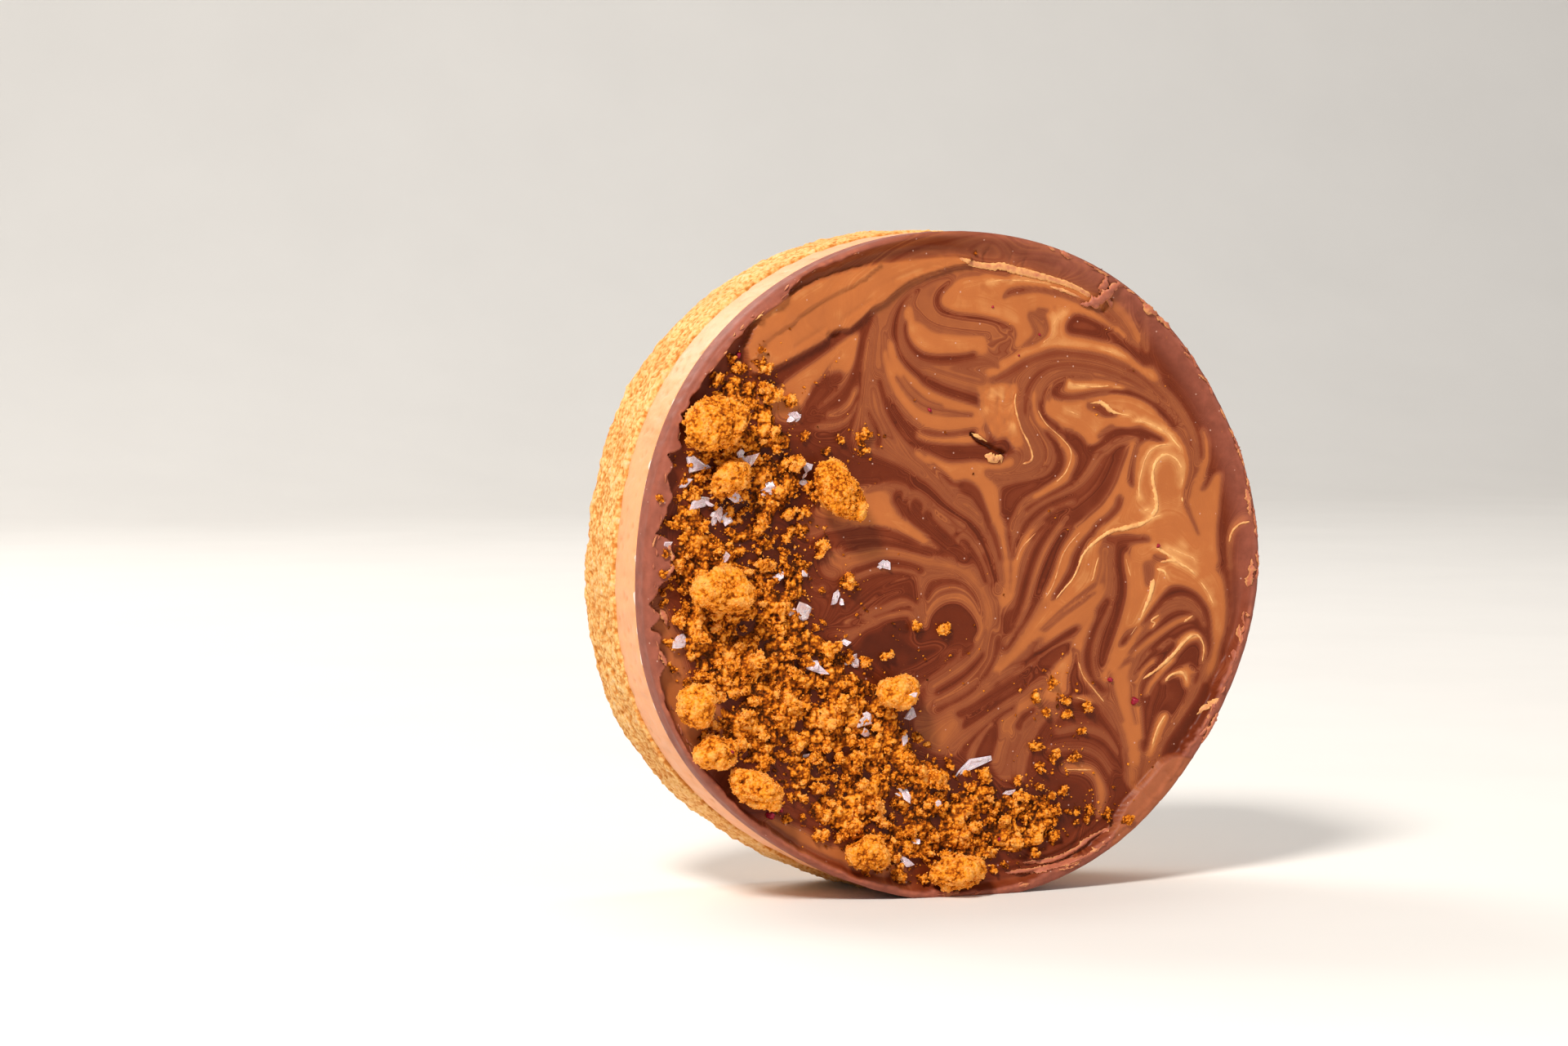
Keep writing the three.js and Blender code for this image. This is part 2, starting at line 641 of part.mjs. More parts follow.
const saltSolids = (flakes, surface) =>
  flakes.map((flake) => {
    return solidOf(setDown(saltFlake(flake, random), flake.x, flake.z, surface, SALT_THICKNESS / 2));
  });

function strayCrumbs() {
  const placed = [];
  for (const group of STRAYS) {
    for (let i = 0; i < group.count; i++) {
      const size = mix(STRAY_SIZES.largest, STRAY_SIZES.smallest, i / group.count);
      const x = group.x + group.spread * (2 * random() - 1);
      const z = group.z + group.spread * (2 * random() - 1);
      if (free(x, z, size + RESTING_GAP) && !inCrescent(x, z)) {
        placed.push(solidOf(setDown(grain(size, random), x, z, faceDepth, STRAY_SINK * size)));
      }
    }
  }
  return placed;
}

const crescentSalt = saltSolids(SALT_ON_CRUMBS, inFrontOfCore);
const crescentPieces = [solidOf(crescentCore()), ...crumbSolids, ...crescentSalt];
const shavings = SHAVINGS.map((row) => solidOf(shaving(row, random)));
const faceSalt = saltSolids(SALT_ON_CHOCOLATE, faceDepth);
const chocolatePieces = [solidOf(chocolateTop()), ...shavings, ...strayCrumbs(), ...faceSalt];

const round = new THREE.Group();
round.position.set(SIT.x, SIT.y, CENTRE_HEIGHT);

function addNode(name, solid, material) {
  const mesh = new THREE.Mesh(geometryOf(largestBody(solid)), material);
  mesh.name = name;
  round.add(mesh);
}

addNode("shortbread_base", standing(solidOf(shortbreadBase())), MATERIALS.shortbread);
addNode("caramel_layer", standing(solidOf(caramelLayer())), MATERIALS.caramel);
addNode("chocolate_top", standing(joined(chocolatePieces)), MATERIALS.chocolate);
addNode("crumb_crescent", joined(crescentPieces), MATERIALS.crumb);
lumps.forEach((solid, i) => addNode(`crumb_lump_${i + 1}`, solid, MATERIALS.crumb));

const part = new THREE.Group();
part.add(round);

export default part;
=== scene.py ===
import math
from types import SimpleNamespace

import bpy
import numpy as np
from bpy.props import FloatProperty, FloatVectorProperty, IntProperty, PointerProperty
from mathutils import Matrix, Vector
from mathutils.bvhtree import BVHTree


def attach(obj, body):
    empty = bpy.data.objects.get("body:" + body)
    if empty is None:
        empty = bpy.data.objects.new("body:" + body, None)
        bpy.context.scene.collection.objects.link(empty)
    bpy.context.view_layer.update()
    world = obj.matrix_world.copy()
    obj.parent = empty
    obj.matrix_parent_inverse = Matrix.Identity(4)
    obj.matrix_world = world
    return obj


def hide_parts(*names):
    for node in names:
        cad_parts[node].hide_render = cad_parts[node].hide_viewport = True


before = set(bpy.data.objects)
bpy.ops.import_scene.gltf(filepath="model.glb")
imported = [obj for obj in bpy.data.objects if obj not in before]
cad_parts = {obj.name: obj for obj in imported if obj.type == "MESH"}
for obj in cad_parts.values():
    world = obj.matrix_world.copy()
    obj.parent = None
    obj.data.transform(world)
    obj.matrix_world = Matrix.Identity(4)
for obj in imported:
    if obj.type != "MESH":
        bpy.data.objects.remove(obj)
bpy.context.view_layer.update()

bl_info = {
    "name": "Caramel Shortbread Round",
    "version": (1, 0, 0),
    "blender": (4, 5, 0),
    "location": "3D View > Sidebar > Shortbread",
    "description": "Dresses a caramel shortbread round: marbled chocolate, caramel, biscuit and crumbs",
    "category": "Object",
}

# Lengths in this file are in millimetres, in the disc's own frame: x to the right, z up, from the disc's
# centre, and y backwards from the plane of the chocolate's rim. MeshMaker turns them into the scene's metres.

MM = 0.001
RADIUS = 40.0
CHOCOLATE_THICKNESS = 3.8
CARAMEL_THICKNESS = 6.9
SHORTBREAD_THICKNESS = 10.8
LAYER_GAP = 0.1
FOOT_HALF_WIDTH = 6.5
CENTRE_HEIGHT = math.sqrt(RADIUS**2 - FOOT_HALF_WIDTH**2)
SIT = (-0.2, -8.83)
CENTRE = (*SIT, CENTRE_HEIGHT)  # the disc's centre in the scene
WIDEST = 41.0  # no point of the round lies farther out
POOL_DEPTH = 1.4  # of the marbled face behind the rim
GOUGE_DEPTH = 0.7
LIP_HEIGHT = 0.2  # of the torn edge along the inside of the rim
RIM_ROUNDING = (0.5, 0.3)  # width and depth of the chocolate's rounded outer edge
WORN_ROUNDING = (0.9, 0.8)  # the same at the left, where the edge is worn
BACK_ROUNDING = 2.2  # of the shortbread's rear edge
CARAMEL_FRONT = CHOCOLATE_THICKNESS + LAYER_GAP
CARAMEL_BACK = CARAMEL_FRONT + CARAMEL_THICKNESS
BASE_FRONT = CARAMEL_BACK + LAYER_GAP
BASE_BACK = BASE_FRONT + SHORTBREAD_THICKNESS

# The meshes: the radius of the grids in the middle of the face and of the back, how many rings of points lie
# round the face's grid and down the chocolate's side, and the steps of the crumb bed and the remeshed pieces.
FACE_GRID_RADIUS = 34.0
BACK_GRID_RADIUS = 36.0
RIM_RINGS = 26
WALL_RINGS = 8
BED_PITCH = 0.19
CLUMP_PITCH = 0.15
LUMP_PITCH = 0.16
BED_SINK = -0.1  # the bed's height where it ends under the chocolate
LUMP_GAP = 0.32  # how much nearer the face the lumps lie than their solids
SALT_SCALE = 1.12  # on the lengths in the table of flakes
FLAKE_STEPS = ((1.0, 0.0), (0.97, 0.6), (0.78, 0.7), (0.72, 1.1), (0.35, 0.9))  # shares of width and height
RAY_START = -0.1  # metres, in front of everything

# The marbling: how fast a stroke's share of the tone and of the streaks' run fades, how far it reaches, how
# sharply the tones meet, from 0 to 1, and how often the fine streaks come and how strong they are.
TONE_POWER = 5.0
FLOW_POWER = 3.0
SWIRL_REACH = 7.0
STEEPENING = 0.85
STREAKS = ((24.0, 0.2), (70.0, 0.09))

# The view: its angles round the object and above the floor in degrees, how far away it is, how far left of
# the disc's centre and above it the view aims, and the length of its lens.
VIEW_TURN = -22.07
VIEW_RISE = 2.9
VIEW_DISTANCE = 528.889
VIEW_LEFT = 20.762
VIEW_UP = 5.153
LENS = 102.08

# The lights: name, place, size, power, colour and target, in metres and watts.
MIDDLE = (0, 0, 0.04)
LIGHTS = (
    ("key", (-0.5, -0.5, 0.7), 0.22, 10.6, (1.0, 0.96, 0.91), MIDDLE),
    ("fill", (0.8, -0.8, 0.35), 0.9, 2.6, (1.0, 0.98, 0.96), MIDDLE),
    ("back", (-0.25, 0.7, 0.6), 0.5, 3.6, (1.0, 0.97, 0.94), MIDDLE),
    ("wall", (0.3, 0.45, 1.3), 0.9, 6.0, (1.0, 1.0, 1.0), (0.1, 1.3, 0.5)),
)

# The outline's waves: how many times round, how high, and where the first one peaks.
OUTLINE_WAVES = ((2, 0.07, -0.73), (4, 0.17, 1.61), (5, 0.29, -0.48), (7, 0.09, -0.07))

# Going round the face: the angle from +X towards +Z, and the width of the rim's flat land and of the slope
# from it down to the marbled pool.
RIM = (
    (-82, 0.9, 1.1), (-66, 1.2, 0.7), (-40, 1.3, 0.6), (-8, 0.8, 1.0), (8, 0.3, 3.6), (62, 0.3, 3.6),
    (84, 0.3, 2.4), (98, 0.35, 1.3), (112, 0.4, 1.0), (120, 0.35, 0.7), (125, 1.0, 0.5), (132, 0.9, 0.45),
    (141, 1.1, 0.4), (146, 0.6, 0.4), (152, 0.45, 0.4), (155.5, 0.6, 0.4), (157.5, 1.5, 0.35),
    (160, 0.5, 0.35), (162, 0.4, 0.35), (165, 1.4, 0.3), (169, 1.2, 0.3), (171.5, 0.4, 0.3),
    (175, 2.1, 0.3), (178, 2.9, 0.3), (182, 1.8, 0.3), (185.6, 0.8, 0.3), (187.4, 1.9, 0.3),
    (189.5, 0.9, 0.3), (194, 1.6, 0.3), (198, 0.5, 0.4), (214, 0.4, 0.6), (240, 0.6, 0.9), (278, 0.9, 1.1),
)
TORN_FROM, TORN_TO, TORN_DEPTH = 108, 352, 0.22  # the angles where the rim is torn, and how deep

# The laps of caramel chocolate smeared over the rim: their outline in the face, how far they lie behind the
# rim, and their share of the rim's plain colour.
TOP_LAP = (
    "-26.6,24.4 -26.9,26 -26.1,28.1 -25,29.7 -22.4,31.7 -20.3,32.8 -17.3,34 -15.2,34.7 -13,35.3 -9.7,36"
    " -4.3,36.5 0,36.9 2.2,36.6 1.6,35.9 -.8,35.5 -4.3,34.5 -6,33.8 -7.6,32.8 -9.3,31.4 -10.8,30.7"
    " -12.2,29.4 -13.7,28.2 -15.2,28.1 -15.7,28 -16.3,27.3 -17.3,26.6 -20.3,25.1 -22.4,24.1 -24.6,23.1"
    " -26,23"
)
TOP_FOLD = (
    "-26.4,24.6 -26.9,26 -26.1,28.1 -25,29.7 -22.4,31.7 -20.3,32.8 -17.3,34 -15.2,34.7 -13,35.3 -9.7,36"
    " -11.8,34.3 -13.9,33.2 -17,31.7 -19.5,30.4 -21.2,28.9 -23.2,27.8 -24.5,26.7 -25,26.2 -25.6,24.8"
)
LOW_LAP = (
    "20,-34.6 21.4,-31.2 22.6,-29.4 24.2,-27.8 26,-26 27.4,-24.6 28.8,-23.8 30.4,-23.8 32.2,-24.4"
    " 33.6,-24.6 34,-28 30,-34 24,-38"
)
LAPS = ((TOP_LAP, 0.75, 0.0), (TOP_FOLD, 0.45, 0.0), (LOW_LAP, 0.1, 0.55))

# Folds of chocolate along the foot of the rim: from and to which angle, their distances from the outer edge,
# and their height and width.
FOLDS = (-86, -56, (2.3, 3.4), 0.5, 0.42)

# The pale ridges: tone, half-widths along the ridge, and its path.
# Their paleness is partly the caramel's own and partly painted highlight where the ridges catch the light.
RIDGES = """
1.2 .3 .34 .28 .22 .14: 26.2,5.3 26.9,6.3 26.8,8 26.4,10 26.6,11.5 27.3,12.5 28.3,12.9 29.5,12.4
 30.2,11.5 30.3,11
1.15 .12: 30.5,10.2 30.4,9
1.15 .12: 30.4,7.8 30.5,7
1.15 .14: 25.2,6.1 26,6.3
1.2 .1 .3 .26 .16 .1: 27.5,5.5 26.3,5.2 25,4.6 23,4.1 21,3.75 19.5,3 18,1.9 17,.8 16.4,-.7 15.6,-2.1
 14.7,-3 13.5,-4.3
1.2 .1 .16 .34 .36 .16 .06: 18,19.2 19.3,19.3 20.1,18.9 20.7,18.3 22,17.9 23.3,17.7
1.2 .12: 23.8,17 25.2,16.9 27,16.2 28.5,15.4 29.5,14.3 30.2,13.6
1.1 .1: 24.2,17 25.3,17.35
1.15 .12: 24.6,7.6 24.6,9.5 25.2,11.8 26,13.3 27.3,14 28.7,14.1
1.25 .22 .24 .2: 26.9,1.6 28,1 29,.4 30,-.3 31.3,-1 32.3,-1.8
1.2 .1: 28.3,1.6 29.5,1.2 31,.6 32,.2 32.3,-.3
1.1 .09: 30.3,2.1 30.9,1.7
1.2 .2: 27.5,-.2 29,0 30,-.3
1.2 .2: 27,-1 28,-1.3 28.3,-1.9
1.2 .3 .3 .2 .04: 26.6,-2.2 26.2,-4 25.3,-6 24.4,-7.8 23.5,-9
1.1 .12: 33,-2.7 34,-4 34.8,-5.5
1.05 .09: 10.8,3.7 9,2 8.2,.3
1.05 .1: 16.8,3.8 15.3,2.3 14.3,.8 13.7,-1 13,-2.8 12,-4.3
1.1 .1: 19.2,.7 18.8,-.5 18.4,-2 18,-2.3
1.1 .09: 11,18.5 12,16.9 14,15.2 15.3,13.8 15.4,12.5 14.7,10.9 13.4,9.7
1.05 .08: 22.8,.5 23.3,-1.2 23.6,-2
1.1 .09: 14.6,18.5 16.5,17.8
1.05 .08: 19.5,25.7 23,24.8
1.15 .12: 15.2,21.6 16.8,21.3 18.7,21.2 20.6,21.3
1.05 .08: 11.5,26.4 12.8,27.5 13.2,29 14.5,30.2
1.1 .09: 14.8,-25 18.5,-25.2
1.1 .09: 16.2,-16.3 18.5,-17
1.1 .1: 16.5,-12 17.2,-13.8 18.5,-15.3 20,-17
1.1 .14: 32,-6.8 30.7,-7.6
1.1 .14: 27.4,-6.6 26.3,-7.3 26.8,-7.6 26.4,-8.2
1.15 .12 .2 .24 .2 .12: 25.2,-14.4 27.2,-13.2 29,-11.8 30.6,-10.2 32,-9.2 33,-9.6 33.5,-10.8 33.3,-12.5
1.15 .2: 28.2,-14.8 29,-14 30.5,-13.8 31.2,-14.8
1.15 .14: 28.3,-18.8 27.2,-20.5 26.5,-22.5
1.1 .12: 8.1,20.5 8,19 8.8,16.3 9.8,14.5 10.3,13 10,12.3 9,12
1.15 .16: 39.1,4.6 38,4.3 37.2,3.3 36.9,2
1.1 .09: 4.3,33.7 6,34 8,34 10,33.9 12.5,33.6
"""

# Shavings and wisps on the rim: tone, half-width, thickness, lift, raggedness, and the path.
SHAVINGS = """
.76 .44 .18 .12 .09: .4,36.6 2.6,35.9 5,35.6 6,35.7 8,35.2 10,34.8 12,34.3 15,33.5 17,32.6 18,32
.75 .16 .12 .1 .2: 12.4,33.3 14.6,32.7 16.7,31.9
.42 .5 .34 .5 .3: 16.5,31.2 17.3,31.1 18.4,31.4 19.4,32.1 20.2,33.1 21,33.5 21.8,33.3
.4 .4 .3 .4 .3: 19.2,32.3 19.1,33.4 19.4,34.6
.5 .24 .24 .2 .3: 19.6,31.9 20.3,31.4 20.7,30.7
.6 .34 .24 .2 .4: 24.4,31.3 25.2,30.4 26.4,29.9
.6 .3 .24 .2 .4: 26.2,29.6 27.4,28.8 28.2,27.9
.8 .24 .16 .12 .2: 32.6,-19 33.6,-18 34.9,-16.9
.6 .2 .16 .12 .3: 29.9,25.4 30.9,24.4
.6 .24 .2 .12 .4: 37.2,14.3 37.7,12.7 38.3,11.2
.6 .24 .2 .12 .4: 38.5,8.6 38.9,7 39.1,5.2
.62 .3 .26 .16 .4: 39.4,0 39.3,-1.6 39,-3.4
.6 .4 .3 .3 .3: -36.9,3.6 -36.2,2.2 -36.4,.6 -37.2,-.4
.6 .36 .26 .3 .3: -37.4,-4.2 -36.9,-5.2 -36.6,-6.3
.5 .3 .24 .2 .4: -38,-9 -37.3,-10.3 -36.9,-11.4
.95 .1 .08 .4 .1: -24.7,29.7 -25.5,29.9 -26.1,28.9
.8 .4 .3 .16 .5: 4,13.1 5.2,12.7 6.5,12.8
.95 .14 .2 .1 .4: 2.3,15.8 3.4,15.2 4.4,14.7
.5 .3 .3 .1 .2: 6.8,-37.1 9,-37 11,-36.9 15,-36 18,-35.1
.5 .26 .25 .1 .2: 9,-36 13,-35.8 16,-34.7 18,-33.4 20.6,-32.4
.5 .3 .25 .2 .3: 34.9,-18.6 33.6,-20.6 32.6,-22.4
"""
# Small torn bits round the rim: from and to which angle, how many, how far from the outer edge, and size.
TORN_EDGES = (
    (-6, 74, 46, 0.28, 0.75), (122, 212, 30, 1.1, 0.5), (324, 352, 14, 1.0, 0.8), (104, 140, 8, 0.5, 0.4),
    (262, 300, 14, 0.9, 0.8),
)

# The crescent of crumbs: the angle, and how near the disc's centre and how far from it the crumbs reach.
CRESCENT = (
    (133, 33.5, 37), (138, 28.5, 37.4), (146, 24, 37.6), (158, 19, 37.4), (176, 16.8, 37.4),
    (190, 19.0, 36.6), (200, 18.6, 36.2), (212, 16.0, 36.2), (226, 16.6, 35.4), (240, 15.6, 35.6),
    (250, 18, 36), (258, 21.5, 37.4), (270, 24.2, 37.6), (284, 27, 36.4), (294, 30, 36.2), (303, 33, 36),
)

# The larger clumps: middle and radius.
CLUMPS = (
    (-24, 21, 1.8), (-13.7, -1.3, 1.55), (-2.5, -25.5, 2.0), (-25, 5.5, 1.7), (-16.4, -9.5, 1.7),
    (-20.7, 12.5, 1.75), (7.6, -33.5, 1.7), (-7.4, -36.6, 1.5), (13.1, -33, 1.2), (-27.4, 23.6, 1.2),
    (-30.5, 22.2, 1.3), (-23.2, 16.4, 1.3), (-35.4, 5.6, 1.2), (-34.9, -5.4, 1.3), (-24.8, 0.6, 1.4),
    (-22.3, -6.8, 1.4), (-26, -10.5, 1.5), (-21.5, -15.2, 1.5), (-27.3, -17.2, 1.4), (-15.4, -16, 1.5),
    (-20.3, -20.6, 1.5), (-12.8, -22.4, 1.5), (-17.4, -26, 1.5), (-10.4, -27.8, 1.4), (-5.6, -31.4, 1.4),
    (2.4, -31.2, 1.4), (-21.4, 6.6, 1.3), (-5, -7.2, 1.0), (-1.7, -7.6, 1.1), (-9, -10.5, 0.9),
    (-12, 15.6, 1.1), (-11.6, 13.8, 0.7), (10.6, -15.9, 1.0), (13, -14.4, 0.9), (14.6, -16.6, 0.8),
    (17.4, -17.6, 1.0), (-23.8, 20.4, 1.7), (-20.3, 12.6, 1.6), (-17.2, 2.9, 1.3), (-25.7, 13.3, 1.2),
    (-23.1, 9.4, 1.2), (-22.1, 12.2, 0.9), (-17.9, 8.6, 1.0), (-27.7, 8.6, 1.2), (-21.6, 3.7, 1.1),
    (-11.4, 15.7, 0.9), (-14.8, 15.1, 0.7), (-19.3, 15.6, 0.8), (-16.6, 13.8, 0.7), (-35.2, 0.8, 1.2),
    (12, -18, 0.7), (14.8, -18.3, 0.8), (17, -20.3, 0.8), (11, -22, 1.1), (13.3, -23.4, 1.0),
    (11.4, -24.6, 0.9), (16, -23.6, 0.8), (8.3, -26, 0.8), (18, -30, 0.9), (20.4, -30.5, 0.9),
    (22.3, -31.2, 1.0), (4.6, -34.6, 1.2), (10.6, -34.8, 1.0), (-3.4, -28.4, 0.9), (5.2, -29.6, 0.9),
    (0.4, -27.8, 0.8), (9.4, -30.4, 0.8),
)

# Groups of single stray grains: middle, spread and number.
STRAY_GROUPS = (
    (13, -16, 2.6, 40), (13.5, -23, 2.6, 40), (21, -29.5, 1.8, 22), (-4, -8, 2.8, 20), (-12.5, -3, 1.8, 17),
    (-11.5, 15, 1.4, 16), (8, -30, 4.0, 73), (0, 0, 14.0, 17), (4, -14, 6.0, 17), (-16, 20, 4.0, 16),
    (14, 30, 8.0, 6), (-25, 27, 3.0, 9), (28, -24, 4.0, 6),
)

# Salt flakes: middle, length, width as a share of it, and turn.
SALT = (
    (-20.9, 18, 1.9, 0.6, 0.2), (-26.8, 12.9, 2.4, 0.6, 1.1), (-33, 12.7, 3.6, 0.55, -0.35),
    (-34.4, 10.4, 1.6, 0.7, 0.8), (-32.6, 8, 2.6, 0.5, 0.4), (-28.6, 8.8, 2.0, 0.7, -0.9),
    (-29.8, 6.4, 3.1, 0.6, -0.6), (-23.8, 9.5, 2.6, 0.6, 0.1), (-19, 12, 1.8, 0.6, 0.7),
    (-19.4, 10.2, 1.2, 0.7, 0), (-37, 3.3, 1.3, 0.6, 0.4), (-29.6, 1.6, 1.5, 0.6, 1.2),
    (-22.6, -0.7, 1.5, 0.7, 0.3), (-19.6, -0.4, 1.0, 0.7, -0.4), (-9.2, 0.4, 1.9, 0.55, -0.3),
    (-19.5, -5.2, 3.3, 0.5, -0.8), (-15.2, -3.5, 2.0, 0.6, 0.9), (-14.2, -8.6, 1.3, 0.7, -0.3),
    (-35, -8, 2.2, 0.6, 0.4), (-17.9, -11.4, 3.1, 0.5, -0.7), (-12.7, -11.2, 2.0, 0.6, 1.0),
    (-7.4, -14.8, 0.9, 0.7, 0), (-5.6, -17.4, 2.4, 0.5, 1.2), (-12, -18, 2.4, 0.6, 0.2),
    (-11.7, -19.6, 1.6, 0.6, -0.5), (-6.7, -20.4, 1.4, 0.6, 1.3), (2.6, -23.9, 5.2, 0.28, 0.42),
    (-6.4, -27, 1.9, 0.6, -0.9), (-2.4, -28.3, 1.2, 0.7, 0.6), (-5.2, -32.8, 1.0, 0.7, 0),
    (-6.2, -35, 2.0, 0.6, -0.7), (7.4, -27.5, 1.5, 0.5, 0.3), (-19.2, -22, 0.9, 0.7, 0.4),
)

# Specks of dried berry: middle and radius.
BERRIES = (
    (-3.2, 18.6, 0.24), (-27.6, 25.2, 0.3), (27.2, 1.8, 0.22), (20.8, -14.3, 0.3), (24, -17, 0.42),
    (-23.6, -28.9, 0.42), (11.2, 27.5, 0.16), (8.5, 25, 0.16), (5, 30.8, 0.14), (5.7, -33, 0.24),
    (-30, -20.8, 0.26), (-22.4, -28.2, 0.3),
)
